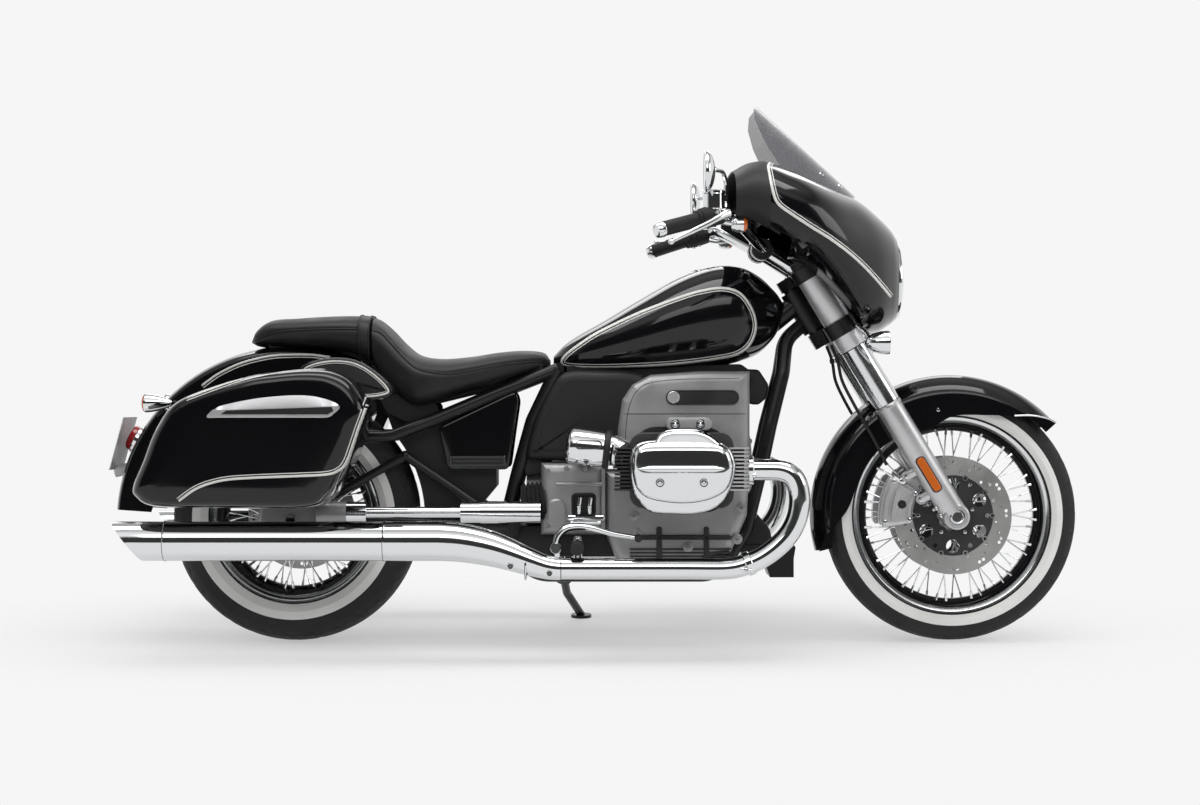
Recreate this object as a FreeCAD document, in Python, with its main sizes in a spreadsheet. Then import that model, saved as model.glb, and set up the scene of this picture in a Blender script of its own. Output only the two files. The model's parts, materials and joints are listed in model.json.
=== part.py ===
import FreeCAD, Part
import math
import os
from types import SimpleNamespace
import Sketcher
from FreeCAD import Placement, Rotation, Vector

# Cruiser motorcycle with a touring fairing and panniers, in millimetres.
# It is modelled upright: X forward from the rear axle, Y to its left, Z up from the ground.
# The last step leans it on its side stand and sets its origin under its middle.

os.makedirs("parts", exist_ok=True)
doc = FreeCAD.newDocument("CruiserMotorcycle")

SIZES = {
    # Stance
    "wheelbase": 1695, "rake_angle": 31.2, "lean_angle": 5, "steering_offset": 48,
    "running_gap": 6, "seat_gap": 0.3, "cut_overrun": 30,
    # Front wheel
    "front_tyre_radius": 326, "front_tyre_width": 120, "front_rim_radius": 255,
    "front_rim_width": 88, "front_disc_radius": 150, "front_disc_place": 72,
    # Rear wheel
    "rear_tyre_radius": 320, "rear_tyre_width": 180, "rear_rim_radius": 219,
    "rear_rim_width": 140, "rear_disc_radius": 140, "rear_disc_place": 84,
    # What both wheels share
    "tyre_wall": 9, "rim_wall": 5, "hub_barrel_radius": 30, "hub_flange_radius": 50,
    "hub_flange_thickness": 7, "spoke_radius": 2.2, "axle_radius": 12, "disc_thickness": 5,
    "disc_bore_radius": 33, "disc_window_radius": 19, "disc_window_circle": 88,
    # Fork
    "leg_spacing": 236, "slider_radius": 34, "slider_length": 336, "stanchion_radius": 33,
    "cover_radius": 37, "cover_start": 506, "leg_length": 735, "axle_boss_radius": 33,
    "axle_boss_length": 60, "lower_yoke_height": 545, "lower_yoke_thickness": 40,
    "upper_yoke_height": 715, "upper_yoke_thickness": 30, "yoke_boss_radius": 43,
    "stem_radius": 21.7, "stem_boss_radius": 26,
    # Front fender
    "front_fender_radius": 361, "front_fender_width": 160, "fender_wall": 3,
    # Handlebar and what it carries: the clamp from the upper yoke, the rest from the clamp
    "bar_radius": 14, "riser_radius": 19, "riser_spacing": 116, "bar_clamp_x": 65,
    "bar_clamp_height": 96, "bar_half_width": 432, "bar_end_x": 281, "bar_end_height": 22,
    "bar_bend_x": 100, "bar_bend_height": 76, "bar_bend_half_width": 335,
    "grip_radius": 19, "grip_length": 125, "switch_radius": 25, "switch_length": 62,
    "reservoir_radius": 27, "reservoir_height": 46, "lever_length": 190, "lever_radius": 7,
    "mirror_radius": 51, "mirror_depth": 20, "mirror_x": 164, "mirror_height": 166,
    "mirror_half_spacing": 425, "hose_radius": 4, "mirror_stem_radius": 5.5,
    # Fairing
    "fairing_start": 1120, "fairing_length": 430, "fairing_bottom": 783, "fairing_height": 455,
    "fairing_half_width": 390, "fairing_wall": 4, "dash_x": 1212, "dash_thickness": 6,
    "headlamp_radius": 98, "headlamp_length": 86, "headlamp_height": 931, "headlamp_back": 1474,
    "screen_radius": 261, "screen_thickness": 4, "screen_x": 1180, "screen_bottom": 1135,
    "screen_length": 270, "screen_height": 249, "screen_foot_x": 1443, "screen_foot_height": 1157,
    "lamp_radius": 30, "lamp_length": 62, "lamp_x": 1455, "lamp_height": 768, "lamp_spacing": 390,
    # Main frame
    "frame_tube_radius": 19, "backbone_radius": 26, "rail_tube_radius": 16,
    "head_tube_radius": 33, "cradle_height": 178, "cradle_half_width": 120,
    # Engine
    "engine_start": 802, "engine_bottom": 205, "engine_length": 370, "engine_height": 492,
    "engine_width": 300, "engine_rounding": 26,
    "gearbox_start": 636, "gearbox_bottom": 280, "gearbox_height": 183, "gearbox_width": 280,
    "gearbox_flange_radius": 78, "airbox_start": 595, "airbox_bottom": 466,
    "airbox_length": 207, "airbox_height": 230, "airbox_width": 250,
    "cylinder_x": 988, "cylinder_height": 450, "barrel_radius": 84, "barrel_reach": 300,
    "head_reach": 345, "head_length": 270, "head_height": 190, "fin_thickness": 4,
    "fin_pitch": 14, "fin_length": 236, "fin_height": 212,
    "rocker_start": 855, "rocker_bottom": 342, "rocker_length": 266, "rocker_height": 215,
    "rocker_depth": 52, "rocker_rounding": 22, "rocker_ridge_radius": 9,
    "intake_radius": 44, "intake_elbow_radius": 37, "intake_place": 268, "intake_height": 505,
    "intake_tail_x": 702,
    # Exhaust
    "header_radius": 27, "header_place": 318, "header_bend_x": 1156,
    "header_bend_radius": 122, "exhaust_wall": 2,
    "silencer_front_x": 689, "silencer_seam_x": 389, "silencer_tail_x": -421,
    "silencer_radius": 46, "silencer_height": 274, "silencer_slash": 77,
    # Fuel tank
    "tank_start": 666, "tank_bottom": 695, "tank_length": 594, "tank_height": 280,
    "tank_half_width": 165, "tank_tunnel_width": 84, "tank_tunnel_top": 800,
    "cap_radius": 40, "cap_thickness": 12, "cap_x": 1063, "cap_height": 963,
    # Seats
    "pillion_start": -112, "pillion_bottom": 712, "pillion_length": 312,
    "pillion_height": 128, "pillion_half_width": 145, "rider_seat_start": 203,
    "rider_seat_bottom": 600, "rider_seat_length": 456, "rider_seat_height": 240,
    "rider_seat_half_width": 175,
    # Rear fender, lamp and plate
    "rear_fender_radius": 454, "rear_fender_width": 230, "rear_fender_centre_x": -10,
    "rear_fender_centre_height": 312, "tail_lamp_radius": 34, "tail_lamp_depth": 26,
    "plate_width": 180, "plate_height": 140, "plate_thickness": 2,
    "signal_radius": 24, "signal_length": 70, "signal_half_spacing": 150,
    # Rear suspension and drive
    "pivot_x": 552, "pivot_height": 300, "pivot_radius": 30, "pivot_shaft_radius": 18,
    "arm_place": 112, "arm_radius": 14, "drive_place": 152, "drive_radius": 84,
    "drive_outer": 158, "shaft_radius": 14, "shaft_height": 338,
    "shaft_length": 240, "joint_radius": 27, "joint_length": 50,
    # Side covers
    "cover_x": 372, "cover_bottom": 445, "cover_length": 206, "cover_height": 210,
    "cover_place": 96, "cover_thickness": 18,
    # Panniers
    "pannier_start": -361, "pannier_bottom": 356, "pannier_length": 584,
    "pannier_height": 345, "pannier_inner": 188, "pannier_width": 236, "pannier_wall": 4,
    "pannier_seam": 605, "lid_gap": 0.4, "pannier_handle_depth": 11, "pad_rounding": 6,
    # Battery box between the rear tyre and the gearbox
    "battery_box_start": 235, "battery_box_bottom": 340, "battery_box_length": 285,
    "battery_box_height": 256, "battery_box_half_width": 78, "tyre_room": 16,
    # Footrests and foot controls
    "footrest_x": 730, "footrest_height": 256, "footrest_reach": 345, "footrest_radius": 17,
    "footrest_rubber_length": 105, "pedal_x": 677, "pedal_height": 256, "pedal_length": 204,
    "pedal_rise": 52, "pedal_place": 300, "pedal_radius": 7,
    # Side stand
    "stand_x": 690, "stand_height": 150, "stand_place": 152, "stand_radius": 11,
    "stand_foot_x": 735, "stand_foot_place": 335, "stand_foot_radius": 28,
    "stand_foot_thickness": 8, "stand_boss_radius": 20,
    # Deflector in front of the engine
    "deflector_x": 1150, "deflector_bottom": 167, "deflector_length": 135,
    "deflector_height": 83, "deflector_width": 150,
}


def formula_of(value):
    """The sheet formula of a value, or its plain number."""
    return getattr(value, "formula", repr(float(value)))


class Measure(float):
    """A value that remembers the sheet formula it comes from."""

    def __new__(cls, value, formula):
        measure = super().__new__(cls, value)
        measure.formula = formula
        return measure

    def __add__(self, other):
        return Measure(float(self) + float(other), f"({self.formula} + {formula_of(other)})")

    def __radd__(self, other):
        return Measure(float(other) + float(self), f"({formula_of(other)} + {self.formula})")

    def __sub__(self, other):
        return Measure(float(self) - float(other), f"({self.formula} - {formula_of(other)})")

    def __rsub__(self, other):
        return Measure(float(other) - float(self), f"({formula_of(other)} - {self.formula})")

    def __mul__(self, other):
        return Measure(float(self) * float(other), f"({self.formula} * {formula_of(other)})")

    def __rmul__(self, other):
        return Measure(float(other) * float(self), f"({formula_of(other)} * {self.formula})")

    def __truediv__(self, other):
        return Measure(float(self) / float(other), f"({self.formula} / {formula_of(other)})")

    def __neg__(self):
        return Measure(-float(self), f"(-1 * {self.formula})")


sheet = doc.addObject("Spreadsheet::Sheet", "Sizes")
for row, (alias, value) in enumerate(SIZES.items(), start=1):
    sheet.set(f"A{row}", alias)
    sheet.set(f"B{row}", str(value))
    sheet.setAlias(f"B{row}", alias)
doc.recompute()
size = SimpleNamespace(**{alias: Measure(value, f"Sizes.{alias}")
                          for alias, value in SIZES.items()})

AXIS_X = Vector(1, 0, 0)
AXIS_Y = Vector(0, 1, 0)
AXIS_Z = Vector(0, 0, 1)
SIDES = {"right": -1, "left": 1}
nodes = {}


# Helpers for objects of the document, bound to the sheet

def bind(item, **properties):
    """Set properties of an object by their sheet formulas."""
    for name, value in properties.items():
        item.setExpression(name, formula_of(value))
    return item


def place(item, base, direction=AXIS_Z):
    """Place an object with its own Z along a direction, with its base bound to the sheet."""
    item.Placement = Placement(Vector(*base), Rotation(AXIS_Z, direction))
    for letter, value in zip("xyz", base):
        if isinstance(value, Measure):
            item.setExpression(f".Placement.Base.{letter}", value.formula)
    return item


def cylinder(name, radius, length, base, direction=AXIS_Z):
    item = bind(doc.addObject("Part::Cylinder", name), Radius=radius, Height=length)
    return place(item, base, direction)


def cross_rod(name, radius, x, z, inner, outer):
    """A round rod along Y from its inner to its outer end."""
    return cylinder(name, radius, outer - inner, (x, inner, z), AXIS_Y)


def box(name, length, width, height, base):
    item = bind(doc.addObject("Part::Box", name), Length=length, Width=width, Height=height)
    return place(item, base)


def fuse(name, items):
    item = doc.addObject("Part::MultiFuse", name)
    item.Shapes = items
    item.Refine = True
    return item


def cut(name, base, tools):
    item = doc.addObject("Part::Cut", name)
    item.Base = base
    item.Tool = tools[0] if len(tools) == 1 else fuse(name + "Tools", tools)
    return item


def group(name, items):
    item = doc.addObject("Part::Compound", name)
    item.Links = items
    return item


def mirrored(name, source):
    item = doc.addObject("Part::Mirroring", name)
    item.Source = source
    item.Normal = AXIS_Y
    return item


def both_sides(name, source):
    return group(name, [source, mirrored(name + "Mirror", source)])


def feature(name, shape):
    item = doc.addObject("Part::Feature", name)
    item.Shape = shape
    return item


def origin_item(body, role):
    return next(item for item in body.Origin.OriginFeatures if item.Role == role)


def outline_sketch(body, name, role, points):
    """A closed outline of straight lines whose corners are bound to the sheet."""
    sketch = body.newObject("Sketcher::SketchObject", name)
    sketch.AttachmentSupport = [(origin_item(body, role), "")]
    sketch.MapMode = "FlatFace"
    corners = [Vector(float(u), float(v)) for u, v in points]
    for start, end in zip(corners, corners[1:] + corners[:1]):
        sketch.addGeometry(Part.LineSegment(start, end))
    count = len(points)
    for index in range(count):
        sketch.addConstraint(Sketcher.Constraint("Coincident", index, 2, (index + 1) % count, 1))
    for index, corner in enumerate(points):
        for kind, value in zip(("DistanceX", "DistanceY"), corner):
            number = sketch.addConstraint(Sketcher.Constraint(kind, -1, 1, index, 1, float(value)))
            sketch.setExpression(f"Constraints[{number}]", formula_of(value))
    return sketch


def turned(name, points):
    """A body of revolution about Y from an outline of (y, radius) corners."""
    body = doc.addObject("PartDesign::Body", name)
    sketch = outline_sketch(body, name + "Profile", "YZ_Plane", points)
    spin = body.newObject("PartDesign::Revolution", name + "Revolution")
    spin.Profile = sketch
    spin.ReferenceAxis = (sketch, ["H_Axis"])
    spin.Angle = 360
    return body


def padded(name, role, points, thickness):
    """A body padded from one of its planes, from an outline of corners in that plane."""
    body = doc.addObject("PartDesign::Body", name)
    sketch = outline_sketch(body, name + "Outline", role, points)
    pad = body.newObject("PartDesign::Pad", name + "Pad")
    pad.Profile = sketch
    bind(pad, Length=thickness)
    return body


# Helpers for shapes that primitives don't give

def spread(points, start, height, length, rise):
    """Turn an outline in shares into (x, z) points of the motorcycle."""
    return [(start + share_x * length, height + share_z * rise) for share_x, share_z in points]


def polygon(points, y=0.0):
    corners = [Vector(x, y, z) for x, z in points]
    return Part.makePolygon(corners + corners[:1])


def smooth(points, y=0.0):
    """A smooth closed outline through its points."""
    curve = Part.BSplineCurve()
    curve.interpolate([Vector(x, y, z) for x, z in points], PeriodicFlag=True)
    return Part.Wire([curve.toShape()])


def prism(wire, width):
    """A solid as wide as asked, from a wire in the X-Z plane at one of its sides."""
    return Part.Face(wire).extrude(Vector(0, width, 0))


def across(points, half_width):
    """A straight-edged prism right across the middle plane."""
    return prism(polygon(points, -half_width), 2 * half_width)


def section(x, low, high, half_width, fullness):
    """A rounded closed section across X, fuller than an ellipse above a fullness of one."""
    count = 20
    points = []
    for index in range(count):
        turn = 2 * math.pi * index / count
        side = math.copysign(abs(math.cos(turn)) ** (1 / fullness), math.cos(turn))
        rise = math.copysign(abs(math.sin(turn)) ** (1 / fullness), math.sin(turn))
        points.append(Vector(x, half_width * side, (low + high) / 2 + (high - low) / 2 * rise))
    curve = Part.BSplineCurve()
    curve.interpolate(points, PeriodicFlag=True)
    return Part.Wire([curve.toShape()])


def hull(rows, start, bottom, length, height, half_width, fullness, inset=0.0):
    """A loft along X from rows of shares: place, low, high and half width, all inset alike."""
    wires = []
    for place_share, low_share, high_share, width_share in rows:
        wires.append(section(start + place_share * length, bottom + low_share * height + inset,
                             bottom + high_share * height - inset,
                             half_width * width_share - inset, fullness))
    return Part.makeLoft(wires, True, False)


def rounded_path(points, bend):
    """Straight runs joined by tangent arcs, each as large as the bend or its runs allow."""
    edges = []
    here = points[0]
    for index in range(1, len(points) - 1):
        corner, ahead = points[index], points[index + 1]
        inward = (corner - points[index - 1]).normalize()
        onward = (ahead - corner).normalize()
        turn = inward.getAngle(onward)
        room = 0.45 * min(corner.distanceToPoint(points[index - 1]), corner.distanceToPoint(ahead))
        reach = min(bend * math.tan(turn / 2), room)
        start, end = corner - inward * reach, corner + onward * reach
        middle_way = (onward - inward).normalize()
        radius = reach / math.tan(turn / 2)
        middle = corner + middle_way * (radius / math.cos(turn / 2) - radius)
        edges.append(Part.LineSegment(here, start).toShape())
        edges.append(Part.Arc(start, middle, end).toShape())
        here = end
    edges.append(Part.LineSegment(here, points[-1]).toShape())
    return Part.Wire(edges)


def pipe(points, bend, radius, bore=0.0):
    """A round tube along a rounded path, open inside where it has a bore."""
    path = rounded_path(points, bend)
    along = (points[1] - points[0]).normalize()
    ring = Part.Wire([Part.makeCircle(radius, points[0], along)])
    solid = path.makePipeShell([ring], True, False)
    if bore:
        inside = Part.Wire([Part.makeCircle(bore, points[0], along)])
        solid = solid.cut(path.makePipeShell([inside], True, False))
    return solid


def round_loft(stations):
    """A round body through (centre, radius) stations along X."""
    return Part.makeLoft([Part.Wire([Part.makeCircle(radius, centre, AXIS_X)])
                          for centre, radius in stations], True, False)


def rod(start, end, radius):
    along = end - start
    return Part.makeCylinder(radius, along.Length, start, along)


def spun(points, centre, start_turn, sweep):
    """A ring sector about Y from an outline of (y, radius) points, turned up from +X."""
    corners = [Vector(centre.x + radius, y, centre.z) for y, radius in points]
    face = Part.Face(Part.makePolygon(corners + corners[:1]))
    face.rotate(centre, AXIS_Y, -start_turn)
    return face.revolve(centre, AXIS_Y, -sweep)


def reflect(shape):
    return shape.mirror(Vector(), AXIS_Y)


def pair(shape):
    return Part.makeCompound([shape, reflect(shape)])


def union(shapes):
    return shapes[0].multiFuse(shapes[1:]).removeSplitter()


def node(name, item, frame=Placement()):
    """Keep an object as a sub-part, in the frame that it was built in."""
    item.Label = name
    nodes[name] = (item, frame)
    return item


# Frames that sub-parts are built in

rear_centre = Vector(0, 0, size.rear_tyre_radius)
front_centre = Vector(size.wheelbase, 0, size.front_tyre_radius)
rear_place = Placement(rear_centre, Rotation())
front_place = Placement(front_centre, Rotation())
# Along the fork: Z up the legs, X square to them and forward, from the front axle
fork_place = Placement(front_centre, Rotation(AXIS_Y, -size.rake_angle))
steering_axis = fork_place.Rotation.multVec(AXIS_Z)
steering_point = fork_place.multVec(Vector(-size.steering_offset, 0, size.upper_yoke_height))


def fork_point(x, y, z):
    return fork_place.multVec(Vector(x, y, z))


# Wheels

def tyre_shape(radius, width, rim_radius, rim_width):
    """A hollow tyre open to its rim, with a rounded crown and bulged walls."""
    bead_radius = rim_radius - size.rim_wall * 2.4 + size.seat_gap
    depth = radius - rim_radius
    bead_y = rim_width / 2 - size.rim_wall - size.seat_gap
    top = rim_radius + size.rim_wall * 0.6
    shoulder = (width / 2 * 0.82, radius - depth * 0.22)
    bulge = (width / 2, (top + shoulder[1]) / 2)
    outer = [(bead_y, top), bulge, shoulder, (0.0, radius)]
    inner_crown = radius - size.tyre_wall * 1.4
    inner = [(y - size.tyre_wall * side, min(r, inner_crown)) for (y, r), side
             in zip(outer, (1, 1, 0.8, 0))]

    def vector(point, side=1):
        return Vector(0, side * point[0], point[1])

    def half_arcs(row, side):
        wall = Part.Arc(vector(row[0], side), vector(row[1], side), vector(row[2], side))
        return wall.toShape()

    edges = []
    for row in (outer, inner):
        edges.append(half_arcs(row, 1))
        crown = Part.Arc(vector(row[2]), vector((0.0, row[3][1])), vector(row[2], -1))
        edges.append(crown.toShape())
        edges.append(half_arcs(row, -1))
    feet = [(outer[0][0], bead_radius), (inner[0][0], bead_radius)]
    for side in (1, -1):
        edges.append(Part.LineSegment(vector(outer[0], side), vector(feet[0], side)).toShape())
        edges.append(Part.LineSegment(vector(feet[0], side), vector(feet[1], side)).toShape())
        edges.append(Part.LineSegment(vector(feet[1], side), vector(inner[0], side)).toShape())
    face = Part.Face(Part.Wire(Part.__sortEdges__(edges)))
    return face.revolve(Vector(), AXIS_Y, 360)


def rim_profile(radius, width):
    """Corners of a drop-centre rim, from its left flange over the well and back inside."""
    half = width / 2
    wall = size.rim_wall
    bead = radius - wall * 2.4
    well = radius - wall * 5.4
    outside = [(half, radius), (half - wall, radius), (half - wall, bead), (half * 0.55, bead),
               (half * 0.3, well), (-half * 0.3, well), (-half * 0.55, bead),
               (wall - half, bead), (wall - half, radius), (-half, radius)]
    inside = [(-half, radius - wall * 3.6), (-half * 0.6, radius - wall * 3.6),
              (-half * 0.36, well - wall), (half * 0.36, well - wall),
              (half * 0.6, radius - wall * 3.6), (half, radius - wall * 3.6)]
    return outside + inside


def hub_profile(half_length, flange_place):
    bore = size.axle_radius + size.seat_gap
    barrel = size.hub_barrel_radius
    flange = size.hub_flange_radius
    rise = size.hub_flange_thickness
    return [(-half_length, bore), (-half_length, barrel), (-flange_place - rise, barrel),
            (-flange_place - rise, flange), (-flange_place, flange), (-flange_place, barrel),
            (flange_place, barrel), (flange_place, flange), (flange_place + rise, flange),
            (flange_place + rise, barrel), (half_length, barrel), (half_length, bore)]


def spoke_shapes(rim_radius, rim_width, flange_place, pairs):
    """Crossed wire spokes from the hub flanges to the edges of the rim."""
    spokes = []
    inner = size.hub_flange_radius - size.spoke_radius * 2
    outer = rim_radius - size.rim_wall * 3.35
    for side in (-1, 1):
        flange_y = side * (flange_place + size.hub_flange_thickness / 2)
        rim_y = side * (rim_width / 2 * 0.8)
        for index in range(pairs):
            middle = 360 * (index + 0.25 * (1 + side)) / pairs
            for lean in (-1, 1):
                start_turn = math.radians(middle - lean * 24)
                end_turn = math.radians(middle + lean * 3.2)
                start = Vector(inner * math.cos(start_turn), flange_y, inner * math.sin(start_turn))
                end = Vector(outer * math.cos(end_turn), rim_y, outer * math.sin(end_turn))
                spokes.append(rod(start, end, size.spoke_radius))
    return spokes


def make_wheel(prefix, radius, width, rim_radius, rim_width, hub_half, flange_place, frame):
    """A tyre and a wire wheel of rim, spokes and hub."""
    tyre = feature(prefix + "Tyre", tyre_shape(radius, width, rim_radius, rim_width))
    node(prefix + "_tyre", tyre, frame)
    rim = turned(prefix + "Rim", rim_profile(rim_radius, rim_width))
    hub = turned(prefix + "Hub", hub_profile(hub_half, flange_place))
    spokes = feature(prefix + "Spokes", Part.makeCompound(
        spoke_shapes(rim_radius, rim_width, flange_place, 10)))
    node(prefix + "_wheel", fuse(prefix + "Wheel", [rim, hub, spokes]), frame)


def make_disc(name, radius, middle_place):
    """A brake disc with a bore and a ring of windows, middled at a place along Y."""
    half = size.disc_thickness / 2
    body = turned(name, [(middle_place - half, size.disc_bore_radius),
                         (middle_place - half, radius),
                         (middle_place + half, radius),
                         (middle_place + half, size.disc_bore_radius)])
    windows = body.newObject("PartDesign::Pocket", name + "Window")
    sketch = body.newObject("Sketcher::SketchObject", name + "WindowSketch")
    sketch.AttachmentSupport = [(origin_item(body, "XZ_Plane"), "")]
    sketch.MapMode = "FlatFace"
    centre = Vector(0, float(size.disc_window_circle))
    hole = sketch.addGeometry(Part.Circle(centre, AXIS_Z, float(size.disc_window_radius)))
    rules = [("Radius", (hole,), size.disc_window_radius),
             ("DistanceX", (-1, 1, hole, 3), 0.0),
             ("DistanceY", (-1, 1, hole, 3), size.disc_window_circle)]
    for kind, ends, value in rules:
        number = sketch.addConstraint(Sketcher.Constraint(kind, *ends, float(value)))
        sketch.setExpression(f"Constraints[{number}]", formula_of(value))
    windows.Profile = sketch
    windows.Type = "ThroughAll"
    windows.Midplane = True
    doc.recompute()
    pattern = body.newObject("PartDesign::PolarPattern", name + "Windows")
    pattern.Originals = [windows]
    pattern.Axis = (origin_item(body, "Y_Axis"), [""])
    pattern.Angle = 360
    pattern.Occurrences = 6
    body.Tip = pattern
    return body


front_hub_half = size.front_disc_place - size.disc_thickness / 2
rear_hub_half = size.rear_disc_place - size.disc_thickness / 2
make_wheel("front", size.front_tyre_radius, size.front_tyre_width, size.front_rim_radius,
           size.front_rim_width, front_hub_half, front_hub_half * 0.62, front_place)
make_wheel("rear", size.rear_tyre_radius, size.rear_tyre_width, size.rear_rim_radius,
           size.rear_rim_width, rear_hub_half, rear_hub_half * 0.55, rear_place)
front_disc = make_disc("FrontDisc", size.front_disc_radius, -size.front_disc_place)
node("front_discs", both_sides("FrontDiscs", front_disc), front_place)
node("rear_disc", make_disc("RearDisc", size.rear_disc_radius, size.rear_disc_place), rear_place)

# Fork, in the frame along its legs

leg_y = size.leg_spacing / 2


def make_fork():
    """Two telescopic legs with sliders, stanchions, covers and axle bosses."""
    slider = cylinder("Slider", size.slider_radius, size.slider_length, (0.0, -leg_y, 0.0))
    boss_end = leg_y + size.axle_boss_length / 2
    boss = cross_rod("AxleBoss", size.axle_boss_radius, 0.0, 0.0,
                     -boss_end, size.axle_boss_length - boss_end)
    stanchion = cylinder("Stanchion", size.stanchion_radius, size.leg_length,
                         (0.0, -leg_y, 0.0))
    cover = cylinder("LegCover", size.cover_radius, size.leg_length - size.cover_start,
                     (0.0, -leg_y, size.cover_start))
    leg = fuse("LegSolid", [slider, boss, stanchion, cover])
    bore = cross_rod("AxleBore", size.axle_radius + size.seat_gap, 0.0, 0.0,
                     -boss_end - size.cut_overrun, size.cut_overrun)
    node("fork_legs", both_sides("ForkLegs", cut("Leg", leg, [bore])), fork_place)


def yoke_plate(name, height, thickness):
    """A plate round both legs and the stem."""
    boss = size.yoke_boss_radius
    stem_boss = size.stem_boss_radius
    back = size.steering_offset + stem_boss
    right = [(-back, -stem_boss * 0.6), (-size.steering_offset * 0.85, -stem_boss * 1.5),
             (-boss * 0.6, -leg_y - boss * 0.6), (boss * 0.5, -leg_y)]
    corners = right + [(x, -y) for x, y in right[::-1]]
    bridge = place(padded(name + "Bridge", "XY_Plane", corners, thickness), (0.0, 0.0, height))
    parts = [bridge]
    for side_name, side in SIDES.items():
        parts.append(cylinder(name + "Boss" + side_name, boss, thickness,
                              (0.0, leg_y * side, height)))
    return parts


def make_yokes():
    parts = yoke_plate("LowerYoke", size.lower_yoke_height, size.lower_yoke_thickness)
    parts += yoke_plate("UpperYoke", size.upper_yoke_height, size.upper_yoke_thickness)
    top = size.upper_yoke_height + size.upper_yoke_thickness
    parts.append(cylinder("Stem", size.stem_radius, top - size.lower_yoke_height,
                          (-size.steering_offset, 0.0, size.lower_yoke_height)))
    holes = [cylinder("LegHole" + side_name, size.cover_radius + size.seat_gap, size.leg_length,
                      (0.0, leg_y * side, size.cover_start)) for side_name, side in SIDES.items()]
    yokes = cut("Yokes", fuse("YokeSolid", parts), holes)
    node("fork_yokes", yokes, fork_place)


def make_front_axle():
    reach = leg_y + size.axle_boss_length / 2 + size.rim_wall
    rod_solid = cross_rod("FrontAxleRod", size.axle_radius, 0.0, 0.0, -reach, reach)
    node("front_axle", group("FrontAxle", [rod_solid]), front_place)


make_fork()
make_yokes()
make_front_axle()


# The front fender follows the wheel and its skirts end in the outline seen from the side

SKIRT_SHARES = [(-1.1, -0.3), (-0.97, -0.21), (-0.88, -0.17), (-0.79, -0.07), (-0.77, 0.11),
                (-0.70, 0.33), (-0.54, 0.53), (-0.31, 0.64), (-0.09, 0.68), (0.34, 0.68),
                (0.72, 0.66), (1.1, 0.60), (1.1, -1.1), (-1.1, -1.1)]


def make_front_fender():
    radius, half, wall = size.front_fender_radius, size.front_fender_width / 2, size.fender_wall
    depth = radius - size.front_tyre_radius - size.running_gap
    outer = [(half, radius * 0.62), (half, radius - depth * 0.95),
             (half * 0.86, radius - depth * 0.4), (half * 0.55, radius - depth * 0.1),
             (0.0, radius)]
    inner = [(y - wall if y else 0.0, r - (0 if r < radius * 0.7 else wall)) for y, r in outer]
    left = outer + inner[::-1]
    ring = spun(left, front_centre, 35, 162)
    ring = ring.fuse(reflect(ring))
    reach = size.front_fender_radius
    skirt = [(front_centre.x + reach * u, front_centre.z + reach * v) for u, v in SKIRT_SHARES]
    fender = ring.cut(across(skirt, half * 2)).removeSplitter()
    node("front_fender", feature("FrontFender", fender))


make_front_fender()

# Handlebar and controls

bar_clamp = fork_point(-size.bar_clamp_x, 0, size.upper_yoke_height
                       + size.upper_yoke_thickness + size.bar_clamp_height)


def bar_points(side):
    """Corners of one half of the bar, from its middle to its end."""
    return [bar_clamp, bar_clamp + AXIS_Y * (side * size.riser_spacing * 0.8),
            bar_clamp + Vector(-size.bar_bend_x, side * size.bar_bend_half_width,
                               size.bar_bend_height),
            bar_clamp + Vector(-size.bar_end_x, side * size.bar_half_width,
                               size.bar_end_height)]


def grip_start(side):
    bend, end = bar_points(side)[2:]
    inward = (bend - end).normalize()
    return end + inward * (size.grip_length + size.switch_length)


def make_handlebar():
    halves = []
    for side in SIDES.values():
        halves.append(pipe(bar_points(side), size.bar_radius * 3, size.bar_radius))
        top = bar_clamp + AXIS_Y * (side * size.riser_spacing / 2)
        foot = fork_point(-size.steering_offset * 0.4, side * size.riser_spacing / 2,
                          size.upper_yoke_height)
        halves.append(rod(foot, top, size.riser_radius))
        halves.append(Part.makeCylinder(size.riser_radius * 1.25, size.riser_radius * 2.5,
                                        top - AXIS_Y * size.riser_radius * 1.25, AXIS_Y))
    below_plate = Part.makeBox(size.leg_spacing, size.leg_spacing, size.yoke_boss_radius * 2,
                               Vector(-size.leg_spacing / 2, -leg_y, size.upper_yoke_height
                                      + size.upper_yoke_thickness - size.yoke_boss_radius * 2))
    below_plate.Placement = fork_place
    bar = union(halves).cut(below_plate)
    node("handlebar", feature("Handlebar", bar))


def lever_pivot(side):
    """The outer end of the arm that carries a lever, ahead of the switches."""
    start, end = grip_start(side), bar_points(side)[-1]
    along = (end - start).normalize()
    forward = Vector(along.y * side, -along.x * side, 0).normalize()
    return start + along * size.switch_length * 0.3 + forward * size.switch_radius * 1.8


def make_levers():
    """A brake and a clutch lever, each on the end of its arm and bowed along its grip."""
    shapes = []
    for side in SIDES.values():
        start, end = grip_start(side), bar_points(side)[-1]
        along = (end - start).normalize()
        forward = Vector(along.y * side, -along.x * side, 0).normalize()
        pivot = lever_pivot(side) + forward * (size.lever_radius + size.seat_gap)
        points = [pivot - along * size.lever_radius * 2, pivot + along * size.lever_length * 0.45
                  + forward * size.lever_radius, pivot + along * size.lever_length]
        lever = pipe(points, size.lever_length / 3, size.lever_radius)
        shapes.append(lever.fuse(Part.makeSphere(size.lever_radius * 1.3, points[-1])))
    node("levers", feature("Levers", Part.makeCompound(shapes)))


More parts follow.
